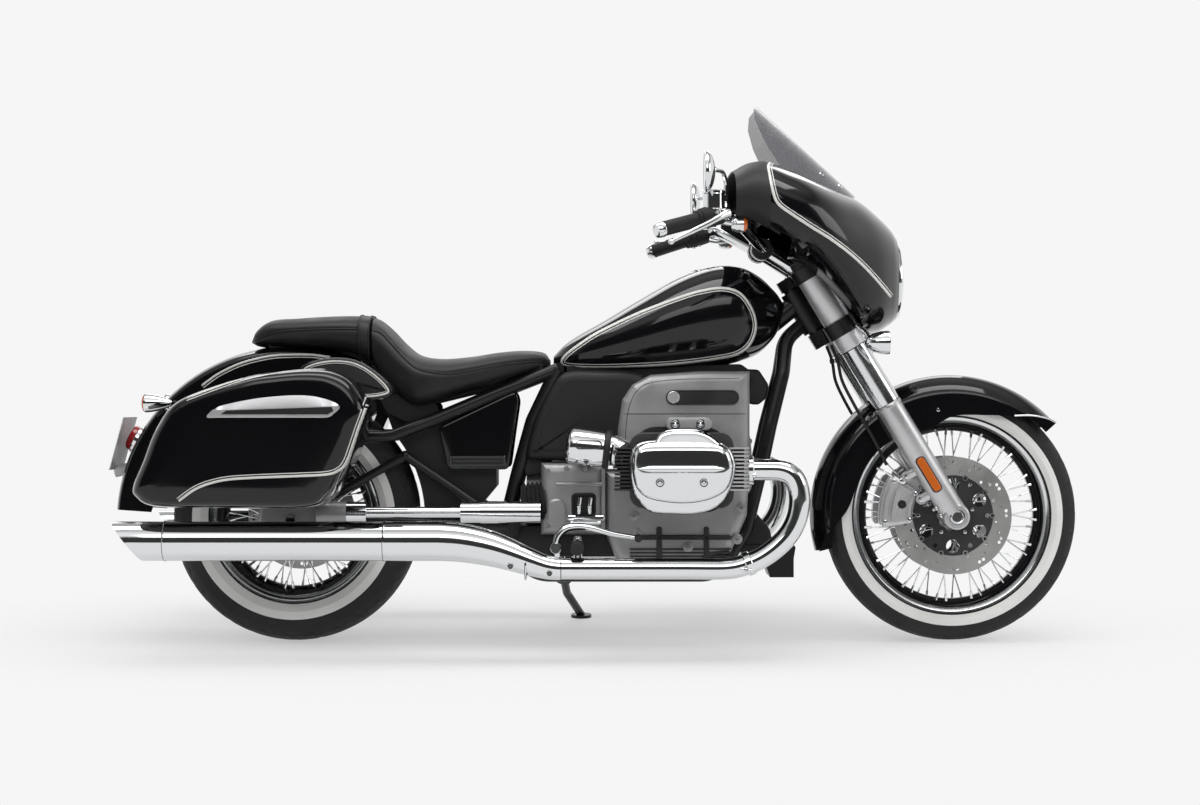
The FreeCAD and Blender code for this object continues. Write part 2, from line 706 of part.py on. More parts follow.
def make_controls():
    shapes = []
    for side in SIDES.values():
        start, end = grip_start(side), bar_points(side)[-1]
        along = (end - start).normalize()
        bore = size.bar_radius + size.seat_gap
        switch = Part.makeCylinder(size.switch_radius, size.switch_length, start, along)
        grip = Part.makeCylinder(size.grip_radius, size.grip_length,
                                 start + along * size.switch_length, along)
        perch = start + along * size.switch_length * 0.3
        pot = Part.makeCylinder(size.reservoir_radius, size.reservoir_height,
                                perch + AXIS_Z * size.switch_radius * 0.6, AXIS_Z)
        arm = rod(perch, lever_pivot(side), size.lever_radius * 1.4)
        shape = union([switch, grip, pot, arm])
        tunnel = Part.makeCylinder(bore, end.distanceToPoint(start) + size.cut_overrun,
                                   start - along * size.cut_overrun / 2, along)
        shapes.append(shape.cut(tunnel))
    node("hand_controls", feature("HandControls", Part.makeCompound(shapes)))


def make_mirrors():
    shapes = []
    for side in SIDES.values():
        start, end = grip_start(side), bar_points(side)[-1]
        along = (end - start).normalize()
        foot = start - along * (size.mirror_stem_radius * 3) + AXIS_Z * size.bar_radius * 1.02
        head = bar_clamp + Vector(-size.mirror_x, side * size.mirror_half_spacing,
                                  size.mirror_height)
        knee = Vector(foot.x, foot.y, head.z + size.mirror_stem_radius)
        back = head + AXIS_X * size.mirror_depth
        stem = pipe([foot, knee, back + AXIS_Z * size.mirror_stem_radius], size.mirror_radius / 2,
                    size.mirror_stem_radius)
        glass = Part.makeCylinder(size.mirror_radius, size.mirror_depth / 2, head, AXIS_X)
        bowl = Part.makeCone(size.mirror_radius, size.mirror_radius * 0.45, size.mirror_depth,
                             head + AXIS_X * size.mirror_depth / 2, AXIS_X)
        shapes.append(union([stem, glass, bowl]))
    node("mirrors", feature("Mirrors", Part.makeCompound(shapes)))


make_handlebar()
make_controls()
make_levers()
make_mirrors()

# Fairing: stations from the rider's side to the headlamp

FAIRING_SHARES = [(0.00, 0.56, 0.93, 0.98), (0.10, 0.54, 0.98, 1.00), (0.21, 0.47, 0.99, 0.99),
                  (0.34, 0.41, 0.95, 0.96), (0.44, 0.38, 0.91, 0.92), (0.54, 0.29, 0.87, 0.86),
                  (0.64, 0.18, 0.83, 0.78), (0.77, 0.04, 0.78, 0.65), (0.88, 0.03, 0.70, 0.53),
                  (0.96, 0.07, 0.63, 0.41), (1.00, 0.10, 0.58, 0.33)]
SCREEN_SHARES = [(1.00, 0.06), (0.86, 0.00), (0.56, 0.12), (0.22, 0.33), (0.13, 0.48),
                 (0.06, 0.63), (0.00, 0.82), (0.00, 0.94), (0.05, 1.00), (0.6, 1.2), (1.4, 0.3)]


def fairing_hull(inset):
    return hull(FAIRING_SHARES, size.fairing_start, size.fairing_bottom, size.fairing_length,
                size.fairing_height, size.fairing_half_width, 1.25, inset)


def fork_opening():
    """The space under the fairing that the fork, the head tube and the tank nose need."""
    gap = size.running_gap
    half = leg_y + size.yoke_boss_radius + gap
    front = size.yoke_boss_radius + gap
    opening = Part.makeBox(size.yoke_boss_radius * 2.8 + front, 2 * half, size.leg_length * 1.15,
                           Vector(-size.yoke_boss_radius * 2.8, -half, gap))
    opening.Placement = fork_place
    bar_room = Part.makeBox(size.bar_bend_x + size.bar_radius * 4, size.bar_bend_half_width * 2,
                            bar_clamp.z + size.bar_bend_height - size.fairing_bottom,
                            Vector(bar_clamp.x - size.bar_bend_x, -size.bar_bend_half_width,
                                   size.fairing_bottom + gap))
    return opening.fuse(bar_room)


def make_fairing():
    outer = fairing_hull(0.0)
    inner = fairing_hull(size.fairing_wall).translated(AXIS_X * -size.fairing_wall)
    lamp_start = Vector(size.headlamp_back, 0, size.headlamp_height)
    lamp_hole = Part.makeCylinder(size.headlamp_radius + size.seat_gap, size.fairing_length,
                                  lamp_start, AXIS_X)
    # The open rear edge lies in a plane, with the inner hull run past it
    rear = Part.makeBox(size.cut_overrun, size.fairing_half_width * 3, size.fairing_height * 3,
                        Vector(size.fairing_start - size.cut_overrun / 2,
                               -size.fairing_half_width * 1.5,
                               size.fairing_bottom - size.fairing_height))
    opening = fork_opening()
    shell = outer.cut(inner).cut(rear).cut(opening).cut(lamp_hole)
    node("fairing_shell", feature("FairingShell", largest(shell)))
    slab = Part.makeBox(size.dash_thickness, size.fairing_half_width * 3, size.fairing_height * 2,
                        Vector(size.dash_x, -size.fairing_half_width * 1.5, size.fairing_bottom))
    lining = fairing_hull(size.fairing_wall + size.seat_gap).translated(
        AXIS_X * -size.fairing_wall)
    dash = lining.common(slab).cut(opening)
    node("fairing_dash", feature("FairingDash", largest(dash)))


def largest(shape):
    return max(shape.Solids, key=lambda solid: solid.Volume)


def make_screen():
    """A clear sheet rolled to one radius and trimmed to its outline from the side."""
    foot = Vector(size.screen_foot_x, 0, size.screen_foot_height)
    top = Vector(size.screen_x + size.screen_length * 0.05, 0,
                 size.screen_bottom + size.screen_height)
    along = (top - foot).normalize()
    inward = Vector(-along.z, 0, along.x)
    if inward.z > 0:
        inward = inward * -1
    reach = size.screen_length * 2
    start = foot + inward * size.screen_radius - along * reach / 2
    roll = Part.makeCylinder(size.screen_radius, reach * 2, start, along)
    roll = roll.cut(Part.makeCylinder(size.screen_radius - size.screen_thickness, reach * 2,
                                      start, along))
    outline = spread(SCREEN_SHARES, size.screen_x, size.screen_bottom, size.screen_length,
                     size.screen_height)
    sheet_solid = roll.common(across(outline, size.screen_radius))
    sheet_solid = sheet_solid.cut(fairing_hull(-size.seat_gap))
    node("windscreen", feature("Windscreen", largest(sheet_solid)))


def make_lamps():
    """The headlamp in the nose and two small lamps under the fairing."""
    start = Vector(size.headlamp_back, 0, size.headlamp_height)
    bowl = Part.makeCylinder(size.headlamp_radius, size.headlamp_length, start, AXIS_X)
    dome_radius = size.headlamp_radius * 2.2
    dome_centre = start + AXIS_X * (size.headlamp_length + size.cover_thickness * 0.6 - dome_radius)
    bowl = bowl.fuse(Part.makeSphere(dome_radius, dome_centre).common(
        Part.makeCylinder(size.headlamp_radius * 0.9, size.headlamp_length * 2, start, AXIS_X)))
    shapes = [bowl.removeSplitter()]
    for side in SIDES.values():
        tail = Vector(size.lamp_x, side * size.lamp_spacing / 2, size.lamp_height)
        stations = [(tail, size.lamp_radius * 0.4),
                    (tail + AXIS_X * size.lamp_length * 0.3, size.lamp_radius * 0.8),
                    (tail + AXIS_X * size.lamp_length * 0.7, size.lamp_radius * 0.98),
                    (tail + AXIS_X * size.lamp_length, size.lamp_radius)]
        shapes.append(round_loft(stations))
    node("front_lamps", feature("FrontLamps", Part.makeCompound(shapes)))


make_fairing()
make_screen()
make_lamps()

# Main frame

head_low = size.lower_yoke_height + size.lower_yoke_thickness + size.running_gap
head_high = size.upper_yoke_height - size.running_gap
pivot_boss_outer = size.arm_place - size.arm_radius - size.seat_gap * 4


def head_tube(radius, overrun=0.0):
    tube = Part.makeCylinder(radius, head_high - head_low + 2 * overrun,
                             Vector(-size.steering_offset, 0, head_low - overrun))
    tube.Placement = fork_place
    return tube


# Places along the wheelbase, across and up of the corners of a cradle tube and a seat rail
CRADLE_SHARES = [(0.748, 0.20, 4.38), (0.742, 0.46, 3.90), (0.722, 0.60, 3.15),
                 (0.707, 0.65, 2.49), (0.684, 0.75, 1.62), (0.640, 1.00, 1.00),
                 (0.375, 1.00, 1.00), (0.330, 0.74, 1.22), (0.3257, 0.62, 1.60),
                 (0.3257, 0.62, 1.90), (0.340, 0.64, 2.45), (0.362, 0.68, 3.20),
                 (0.400, 0.80, 3.95)]
RAIL_SHARES = [(0.400, 0.80, 3.95), (0.312, 0.94, 3.62), (0.208, 1.03, 3.20),
               (0.148, 1.06, 2.98), (-0.12, 1.06, 2.98)]


def cradle_points(side):
    """Corners of one cradle tube, from the head tube round under the engine to the seat."""
    half = size.cradle_half_width
    low = size.cradle_height
    head = fork_point(-size.steering_offset, 0, head_low + size.head_tube_radius)
    points = [Vector(size.wheelbase * u, side * half * v, low * w) for u, v, w in CRADLE_SHARES]
    return [head] + points


def seat_rail_points(side):
    half = size.cradle_half_width
    low = size.cradle_height
    return [Vector(size.wheelbase * u, side * half * v, low * w) for u, v, w in RAIL_SHARES]


def pivot_boss(side, growth):
    """The boss in a cradle tube that carries the swingarm's shaft."""
    inner = pivot_boss_outer - 2 * size.frame_tube_radius - growth
    length = pivot_boss_outer - inner + growth
    start = Vector(size.pivot_x, side * inner, size.pivot_height)
    return Part.makeCylinder(size.pivot_radius + growth, length, start, AXIS_Y * side)


def frame_tubes(growth):
    """All tubes of the frame, grown by a gap where neighbours are cut to clear them."""
    bend = size.frame_tube_radius * 4
    shapes = [head_tube(size.head_tube_radius + growth, growth)]
    top = fork_point(-size.steering_offset, 0, head_high - size.head_tube_radius)
    spine = [top, Vector(size.wheelbase * 0.68, 0, size.cradle_height * 4.25),
             Vector(size.wheelbase * 0.405, 0, size.cradle_height * 4.05)]
    shapes.append(pipe(spine, size.backbone_radius * 4, size.backbone_radius + growth))
    for side in SIDES.values():
        shapes.append(pipe(cradle_points(side), bend, size.frame_tube_radius + growth))
        shapes.append(pipe(seat_rail_points(side), bend, size.rail_tube_radius + growth))
        shapes.append(pivot_boss(side, growth))
    seat_left, seat_right = seat_rail_points(1)[0], seat_rail_points(-1)[0]
    shapes.append(rod(seat_left, seat_right, size.rail_tube_radius + growth))
    for x_share in (0.02, -0.10):
        for side in SIDES.values():
            rail = Vector(size.wheelbase * x_share, side * size.cradle_half_width * 1.06,
                          size.cradle_height * 2.98)
            case_wall = Vector(rail.x, side * (size.pannier_inner - size.seat_gap), rail.z)
            shapes.append(rod(rail, case_wall, size.rail_tube_radius * 0.7 + growth))
    shapes.append(rod(Vector(size.wheelbase * 0.6, -size.cradle_half_width, size.cradle_height),
                      Vector(size.wheelbase * 0.6, size.cradle_half_width, size.cradle_height),
                      size.rail_tube_radius * 0.8 + growth))
    low_left, low_right = (cradle_points(side)[8] for side in (1, -1))
    shapes.append(rod(low_left, low_right, size.rail_tube_radius * 0.8 + growth))
    return shapes


def make_frame():
    frame = union(frame_tubes(0.0))
    bore = head_tube(size.stem_radius + size.seat_gap, size.cut_overrun)
    pivot = Part.makeCylinder(size.pivot_shaft_radius + size.seat_gap, size.arm_place * 2,
                              Vector(size.pivot_x, -size.arm_place, size.pivot_height), AXIS_Y)
    node("main_frame", feature("MainFrame", frame.cut(bore).cut(pivot).removeSplitter()))


make_frame()
grown_frame = frame_tubes(size.seat_gap)


def clear_of_frame(shape):
    """The shape with room for the frame tubes that pass through it."""
    return shape.cut(grown_frame)


# Engine

ENGINE_SHARES = [(0.08, 0.48), (0.08, 0.70), (0.11, 0.85), (0.18, 0.93), (0.30, 0.98),
                 (0.65, 1.00), (0.99, 1.00), (0.99, 0.49), (0.97, 0.25), (0.86, 0.06),
                 (0.64, 0.00), (0.08, 0.00), (0.00, 0.15), (0.00, 0.48)]
AIRBOX_SHARES = [(0.00, 0.00), (0.06, 0.46), (0.22, 0.85), (0.43, 0.98), (1.00, 1.00), (1.00, 0.00)]
ROCKER_SHARES = [(0.02, 0.57), (0.04, 0.74), (0.11, 0.825), (0.25, 0.853), (0.50, 0.86),
                 (0.75, 0.853), (0.87, 0.825), (0.957, 0.712), (0.992, 0.54), (0.957, 0.343),
                 (0.889, 0.172), (0.774, 0.06), (0.613, 0.01), (0.43, 0.01), (0.224, 0.03),
                 (0.109, 0.144), (0.04, 0.314)]
ROCKER_DOME_SHARES = [(0.23, 0.70), (0.247, 0.85), (0.292, 0.933), (0.384, 0.967),
                      (0.659, 0.961), (0.774, 0.90), (0.85, 0.80), (0.83, 0.70)]


def rounded_edges(shape, radius, chooser):
    edges = [edge for edge in shape.Edges if chooser(edge)]
    return shape.makeFillet(radius, edges)


def at_side(half_width):
    """Choose the edges that lie in a side face."""
    def chooser(edge):
        box_of = edge.BoundBox
        flat = box_of.YLength < half_width / 1000
        return flat and abs(abs(box_of.YMin) - half_width) < half_width / 1000
    return chooser


def make_engine():
    outline = spread(ENGINE_SHARES, size.engine_start, size.engine_bottom, size.engine_length,
                     size.engine_height)
    half = size.engine_width / 2
    block = rounded_edges(across(outline, half), size.engine_rounding, at_side(half))
    block = clear_of_frame(block)
    node("engine_block", feature("EngineBlock", largest(block)))

    gear_start = Vector(size.gearbox_start, -size.gearbox_width / 2, size.gearbox_bottom)
    case = Part.makeBox(size.engine_start - size.gearbox_start, size.gearbox_width,
                        size.gearbox_height, gear_start)
    case = rounded_edges(case, size.engine_rounding, at_side(size.gearbox_width / 2))
    flange = Part.makeCylinder(size.gearbox_flange_radius, size.gearbox_flange_radius / 2,
                               Vector(size.gearbox_start - size.gearbox_flange_radius / 2, 0,
                                      size.gearbox_bottom + size.gearbox_height / 2), AXIS_X)
    node("gearbox", feature("Gearbox", largest(clear_of_frame(case.fuse(flange)))))

    outline = spread(AIRBOX_SHARES, size.airbox_start, size.airbox_bottom, size.airbox_length,
                     size.airbox_height)
    half = size.airbox_width / 2
    airbox = rounded_edges(across(outline, half), size.engine_rounding, at_side(half))
    node("airbox", feature("Airbox", largest(clear_of_frame(airbox))))


def make_cylinders():
    """Finned barrels and heads on both sides."""
    centre = Vector(size.cylinder_x, -size.engine_width / 2, size.cylinder_height)
    inner = size.engine_width / 2
    barrel = Part.makeCylinder(size.barrel_radius, size.barrel_reach - inner, centre,
                               AXIS_Y * -1)
    head = Part.makeBox(size.head_length, size.head_reach - size.barrel_reach, size.head_height,
                        Vector(centre.x - size.head_length / 2, -size.head_reach,
                               centre.z - size.head_height / 2))
    shapes = [barrel, head]
    count = int((size.barrel_reach - inner) / size.fin_pitch)
    for index in range(1, count):
        y = -inner - index * size.fin_pitch
        fin = Part.makeBox(size.fin_length, size.fin_thickness, size.fin_height,
                           Vector(centre.x - size.fin_length / 2, y,
                                  centre.z - size.fin_height / 2))
        corners = [edge for edge in fin.Edges if edge.BoundBox.YLength > size.fin_thickness / 2
                   and edge.BoundBox.XLength < size.fin_thickness / 2
                   and edge.BoundBox.ZLength < size.fin_thickness / 2]
        shapes.append(fin.makeFillet(size.fin_height * 0.3, corners))
    rows = 7
    for index in range(rows):
        z = size.cylinder_height - size.fin_height * 0.26 + index * size.fin_pitch * 1.1
        shapes.append(Part.makeBox(size.head_length + size.fin_pitch * 4,
                                   size.head_reach - size.barrel_reach, size.fin_thickness,
                                   Vector(centre.x - size.head_length / 2 - size.fin_pitch * 2,
                                          -size.head_reach, z)))
    node("cylinders", feature("Cylinders", pair(union(shapes))))


def rocker_form(shares, depth, rounding):
    """A form on the head's face with a rounded outer edge."""
    outline = spread(shares, size.rocker_start, size.rocker_bottom, size.rocker_length,
                     size.rocker_height)
    form = prism(smooth(outline, -size.head_reach), -depth)
    far = -size.head_reach - depth
    edges = [edge for edge in form.Edges if abs(edge.BoundBox.YMax - far) < size.seat_gap]
    return form.makeFillet(rounding, edges)


def make_rocker_covers():
    """Oval covers with a raised dome on top and a ridge along the middle."""
    cover = rocker_form(ROCKER_SHARES, size.rocker_depth, size.rocker_rounding)
    dome = rocker_form(ROCKER_DOME_SHARES, size.rocker_depth * 0.9, size.rocker_rounding * 0.5)
    ridge = Part.makeCylinder(size.rocker_ridge_radius, size.rocker_length * 0.8,
                              Vector(size.rocker_start + size.rocker_length * 0.1,
                                     -size.head_reach - size.rocker_depth,
                                     size.rocker_bottom + size.rocker_height * 0.52), AXIS_X)
    node("rocker_covers", feature("RockerCovers", pair(union([cover, dome, ridge]))))


def make_intakes():
    """Chrome intake pipes beside the airbox that turn into the heads."""
    y = -size.intake_place
    tail = Vector(size.intake_tail_x, y, size.intake_height)
    length = size.cylinder_x - size.head_length / 2 - size.fin_pitch * 2 - tail.x
    can = Part.makeCylinder(size.intake_radius, length * 0.66, tail, AXIS_X)
    face = Vector(tail.x + length - size.seat_gap,
                  -(size.barrel_reach + size.head_reach) / 2,
                  size.cylinder_height + size.head_height * 0.2)
    elbow = pipe([tail + AXIS_X * length * 0.5, tail + AXIS_X * length * 0.86, face],
                 size.intake_radius, size.intake_elbow_radius * 0.55)
    inboard = Vector(tail.x + size.intake_radius, -size.airbox_width / 2 - size.seat_gap,
                     tail.z)
    duct = rod(inboard, Vector(inboard.x, y, tail.z), size.intake_radius * 0.8)
    ahead = Part.makeBox(size.head_length, size.head_length, size.head_length,
                         Vector(face.x, face.y - size.head_length / 2,
                                face.z - size.head_length / 2))
    node("intakes", feature("Intakes", pair(union([can, elbow, duct]).cut(ahead))))


BATTERY_SHARES = [(0.00, 1.00), (0.93, 1.00), (1.00, 0.86), (1.00, 0.24), (0.82, 0.00),
                  (0.33, 0.00)]


def make_battery_box():
    """A box between the frame tubes, hollowed for the tyre, on two cross rods."""
    outline = spread(BATTERY_SHARES, size.battery_box_start, size.battery_box_bottom,
                     size.battery_box_length, size.battery_box_height)
    half = size.battery_box_half_width
    body = across(outline, half).cut(
        Part.makeCylinder(size.rear_tyre_radius + size.tyre_room, half * 4,
                          rear_centre - AXIS_Y * half * 2, AXIS_Y))
    rod_radius = size.rail_tube_radius / 2
    rails = rod(seat_rail_points(-1)[2], seat_rail_points(1)[2], rod_radius)
    cover_pin = Vector(size.cover_x + size.cover_length * 0.4, size.cover_place - size.seat_gap,
                       size.cover_bottom + size.cover_height * 0.45)
    pins = rod(Vector(cover_pin.x, -cover_pin.y, cover_pin.z), cover_pin, rod_radius)
    body = clear_of_frame(union([largest(body), rails, pins]))
    node("battery_box", feature("BatteryBox", largest(body)))


make_engine()
make_battery_box()
make_cylinders()
make_rocker_covers()
make_intakes()

# Exhaust

SILENCER_SHARES = [(0.0, 0.62, 0.0), (0.10, 0.66, 0.05), (0.25, 0.80, 0.28), (0.55, 0.98, 0.72),
                   (0.8, 1.05, 0.92), (1.0, 1.06, 1.0)]


def header_low():
    return size.cylinder_height - 2 * size.header_bend_radius


def make_exhaust():
    y = -size.header_place
    high = size.cylinder_height
    low = header_low()
    bend = size.header_bend_radius
    port_x = size.cylinder_x + size.head_length / 2 + size.fin_pitch * 2 + size.seat_gap
    port = Part.LineSegment(Vector(port_x, y, high), Vector(size.header_bend_x, y, high))
    loop = Part.Arc(Vector(size.header_bend_x, y, high),
                    Vector(size.header_bend_x + bend, y, high - bend),
                    Vector(size.header_bend_x, y, low))
    run = Part.LineSegment(Vector(size.header_bend_x, y, low),
                           Vector(size.silencer_front_x + size.seat_gap, y, low))
    path = Part.Wire([port.toShape(), loop.toShape(), run.toShape()])
    ring = Part.Wire([Part.makeCircle(size.header_radius, Vector(port_x, y, high), AXIS_X)])
    inside = Part.Wire([Part.makeCircle(size.header_radius - size.exhaust_wall,
                                        Vector(port_x, y, high), AXIS_X)])
    header = path.makePipeShell([ring], True, False).cut(
        path.makePipeShell([inside], True, False))
    node("headers", feature("Headers", pair(header)))

    stations = []
    for share, radius_share, rise_share in SILENCER_SHARES:
        x = size.silencer_front_x + share * (size.silencer_seam_x - size.silencer_front_x)
        z = low + rise_share * (size.silencer_height - low)
        stations.append((Vector(x, y, z), size.silencer_radius * radius_share))
    seam = Vector(size.silencer_seam_x, y, size.silencer_height)
    outer = size.silencer_radius * 1.06
    can = Part.makeCylinder(outer, size.silencer_seam_x - size.silencer_tail_x, seam, AXIS_X * -1)
    # The tail is open as far as its baffle
    tail_depth = size.silencer_slash * 1.8
    tail = Part.makeCylinder(outer - size.exhaust_wall * 1.5, tail_depth + size.cut_overrun,
                             seam + AXIS_X * (size.silencer_tail_x + tail_depth
                                              - size.silencer_seam_x), AXIS_X * -1)
    body = round_loft(stations).fuse(can).removeSplitter().cut(tail)
    radius = size.silencer_radius * 1.2
    slash = across([(size.silencer_tail_x, size.silencer_height + radius),
                    (size.silencer_tail_x - size.cut_overrun, size.silencer_height + radius),
                    (size.silencer_tail_x - size.cut_overrun, size.silencer_height - radius),
                    (size.silencer_tail_x + size.silencer_slash * 1.2,
                     size.silencer_height - radius)], size.header_place * 2)
    node("silencers", feature("Silencers", pair(largest(body.cut(slash)))))


make_exhaust()

# Fuel tank, seats and rear fender

TANK_SHARES = [(0.00, 0.06, 0.15, 0.15), (0.05, 0.02, 0.26, 0.36), (0.12, 0.00, 0.36, 0.55),
               (0.22, 0.00, 0.48, 0.70), (0.37, 0.00, 0.67, 0.85), (0.54, 0.02, 0.87, 0.96),
               (0.69, 0.05, 0.98, 1.00), (0.81, 0.10, 0.98, 0.90), (0.90, 0.18, 0.89, 0.60),
               (0.97, 0.34, 0.75, 0.35), (1.00, 0.50, 0.66, 0.18)]
PILLION_SHARES = [(0.00, 0.44, 0.51, 0.48), (0.05, 0.38, 0.73, 0.72), (0.17, 0.35, 0.91, 0.86),
                  (0.38, 0.32, 0.95, 0.94), (0.55, 0.30, 0.98, 0.98), (0.75, 0.26, 1.00, 1.00),
                  (0.89, 0.17, 1.00, 1.00), (1.00, 0.00, 0.98, 0.98)]
RIDER_SHARES = [(0.00, 0.47, 0.98, 0.81), (0.04, 0.32, 0.94, 0.83), (0.10, 0.19, 0.84, 0.87),
                (0.18, 0.06, 0.68, 0.91), (0.26, 0.01, 0.57, 0.96), (0.38, 0.07, 0.53, 1.00),
                (0.54, 0.17, 0.55, 0.98), (0.71, 0.26, 0.60, 0.90), (0.85, 0.34, 0.62, 0.73),
                (0.96, 0.41, 0.60, 0.53), (1.00, 0.44, 0.52, 0.38)]


def fender_ring(growth):
    """The rear fender's arched shell, or its filled outside grown by a gap."""
    half = size.rear_fender_width / 2 + growth
    radius = size.rear_fender_radius + growth
    wall = size.fender_wall
    centre = Vector(size.rear_fender_centre_x, 0, size.rear_fender_centre_height)
    outer = [(half, radius * 0.74), (half, radius * 0.93), (half * 0.8, radius * 0.985),
             (half * 0.45, radius * 0.997), (0.0, radius)]
    if growth:
        left = outer + [(0.0, radius * 0.74)]
    else:
        inner = [(y - wall if y else 0.0, r - (0 if r < radius * 0.8 else wall)) for y, r in outer]
        left = outer + inner[::-1]
    ring = spun(left, centre, 68, 108)
    return ring.fuse(reflect(ring)).removeSplitter()


def make_tank():
    tank = hull(TANK_SHARES, size.tank_start, size.tank_bottom, size.tank_length, size.tank_height,
                size.tank_half_width, 1.15)
    tunnel = Part.makeBox(size.tank_length, size.tank_tunnel_width,
                          size.tank_tunnel_top - size.tank_bottom + size.cut_overrun,
                          Vector(size.tank_start, -size.tank_tunnel_width / 2,
                                 size.tank_bottom - size.cut_overrun))
    tunnel = tunnel.cut(Part.makeBox(size.tank_length, size.tank_tunnel_width * 2,
                                     size.tank_height * 2,
                                     Vector(size.tank_start + size.tank_length * 0.9,
                                            -size.tank_tunnel_width, size.tank_bottom)))
    engine_top = size.engine_bottom + size.engine_height
    floor = Part.makeBox(size.tank_length, size.tank_half_width * 2, size.cut_overrun,
                         Vector(size.tank_start, -size.tank_half_width,
                                engine_top + size.seat_gap - size.cut_overrun))
    tank = tank.cut(floor)
    cap_base = Vector(size.cap_x, 0, size.cap_height - size.cap_thickness)
    well = Part.makeCylinder(size.cap_radius + size.seat_gap, size.cap_height, cap_base, AXIS_Z)
    # The filler neck carries the cap
    neck = Part.makeCylinder(size.cap_radius, cap_base.z - size.tank_tunnel_top,
                             Vector(cap_base.x, 0, size.tank_tunnel_top), AXIS_Z)
    tank = union([tank.cut(well), neck])
    node("fuel_tank", feature("FuelTank", largest(clear_of_frame(tank))))
    cap = Part.makeCylinder(size.cap_radius, size.cap_thickness * 2, cap_base, AXIS_Z)
    edges = [edge for edge in cap.Edges if edge.BoundBox.ZMin > size.cap_height]
    node("fuel_cap", feature("FuelCap", cap.makeFillet(size.cap_thickness / 3, edges)))


def make_seats():
    pillion = hull(PILLION_SHARES, size.pillion_start, size.pillion_bottom, size.pillion_length,
                   size.pillion_height, size.pillion_half_width, 1.5)
    rider = hull(RIDER_SHARES, size.rider_seat_start, size.rider_seat_bottom,
                 size.rider_seat_length, size.rider_seat_height, size.rider_seat_half_width, 1.5)
    grown_fender = fender_ring(size.seat_gap)
    node("passenger_seat", feature("PassengerSeat",
                                   largest(clear_of_frame(pillion.cut(grown_fender)))))
    node("rider_seat", feature("RiderSeat", largest(clear_of_frame(rider.cut(grown_fender)))))


def make_rear_fender():
    shell = fender_ring(0.0)
    rails = [pipe(seat_rail_points(side), size.frame_tube_radius * 4,
                  size.rail_tube_radius + size.seat_gap) for side in SIDES.values()]
    node("rear_fender", feature("RearFender", largest(shell.cut(rails))))


make_tank()
make_seats()
make_rear_fender()

# Swingarm, final drive, shaft and rear axle

axle_hub_half = size.arm_radius * 1.25
drive_inner = size.arm_place + axle_hub_half

def make_swingarm():
    """Two arms of three tubes each, joined by the pivot shaft and bored for the axle."""
    reach = size.arm_place + size.arm_radius * 0.72
    pivot = Vector(size.pivot_x, 0, size.pivot_height)
    shapes = [Part.makeCylinder(size.pivot_shaft_radius, 2 * reach, pivot - AXIS_Y * reach, AXIS_Y)]
    for side in SIDES.values():
        hub_start = pivot + AXIS_Y * side * (pivot_boss_outer + size.seat_gap)
        hub_length = reach - pivot_boss_outer - size.seat_gap
        shapes.append(Part.makeCylinder(size.pivot_radius, hub_length, hub_start, AXIS_Y * side))
        front = pivot + AXIS_Y * side * size.arm_place
        axle = Vector(0, side * size.arm_place, size.rear_tyre_radius)
        top = Vector(size.wheelbase * 0.17, axle.y, size.cradle_height * 2.7)
        shapes.append(rod(front, axle, size.arm_radius))
        shapes.append(rod(axle, top, size.arm_radius * 0.8))
        shapes.append(rod(top, front, size.arm_radius * 0.8))
        shapes.append(Part.makeSphere(size.arm_radius * 0.95, top))
        shapes.append(Part.makeCylinder(size.joint_radius, 2 * axle_hub_half,
                                        axle - AXIS_Y * axle_hub_half, AXIS_Y))
    bore = Part.makeCylinder(size.axle_radius + size.seat_gap, size.arm_place * 4,
                             rear_centre - AXIS_Y * size.arm_place * 2, AXIS_Y)
    node("swingarm", feature("Swingarm", largest(union(shapes).cut(bore))))


def make_drive():
    outer = size.drive_outer
    centre = rear_centre - AXIS_Y * outer
    bowl = Part.makeCylinder(size.drive_radius, outer - drive_inner - size.seat_gap, centre,
                             AXIS_Y)
    edges = [edge for edge in bowl.Edges if edge.BoundBox.YMax < -outer + size.seat_gap]
    bowl = bowl.makeFillet(size.drive_radius / 5, edges)
    nose_start = Vector(size.drive_radius * 0.8, -size.drive_place, size.shaft_height)
    nose = Part.makeCone(size.joint_radius * 1.12, size.joint_radius, size.drive_radius * 0.9,
                         nose_start, AXIS_X)
    bore = Part.makeCylinder(size.axle_radius + size.seat_gap, size.arm_place * 4,
                             rear_centre - AXIS_Y * size.arm_place * 2, AXIS_Y)
    drive = union([bowl, nose]).cut(bore)
    arm_room = Part.makeBox(size.wheelbase, drive_inner + size.seat_gap, size.wheelbase,
                            Vector(-size.wheelbase / 2, -drive_inner - size.seat_gap, 0))
    node("final_drive", feature("FinalDrive", largest(drive.cut(arm_room))))
    start = Vector(nose_start.x + size.drive_radius * 0.9 + size.seat_gap, -size.drive_place,
                   size.shaft_height)
    ends = [(0.0, size.joint_radius, size.joint_length),
            (size.joint_length, size.shaft_radius, size.shaft_length),
            (size.joint_length + size.shaft_length, size.joint_radius, size.joint_length)]
    shapes = [Part.makeCylinder(radius, length, start + AXIS_X * offset, AXIS_X)
              for offset, radius, length in ends]
    boot_start = start + AXIS_X * (2 * size.joint_length + size.shaft_length)
    shapes.append(Part.makeCylinder(size.joint_radius * 1.05,
                                    size.gearbox_start - boot_start.x - size.seat_gap,
                                    boot_start, AXIS_X))
    node("drive_shaft", feature("DriveShaft", clear_of_frame(union(shapes))))
    reach = size.drive_outer + size.rim_wall
    rod_solid = cross_rod("RearAxleRod", size.axle_radius, 0.0, 0.0, -reach,
                          drive_inner + size.rim_wall)
    node("rear_axle", group("RearAxle", [rod_solid]), rear_place)


make_swingarm()
make_drive()

# Calipers


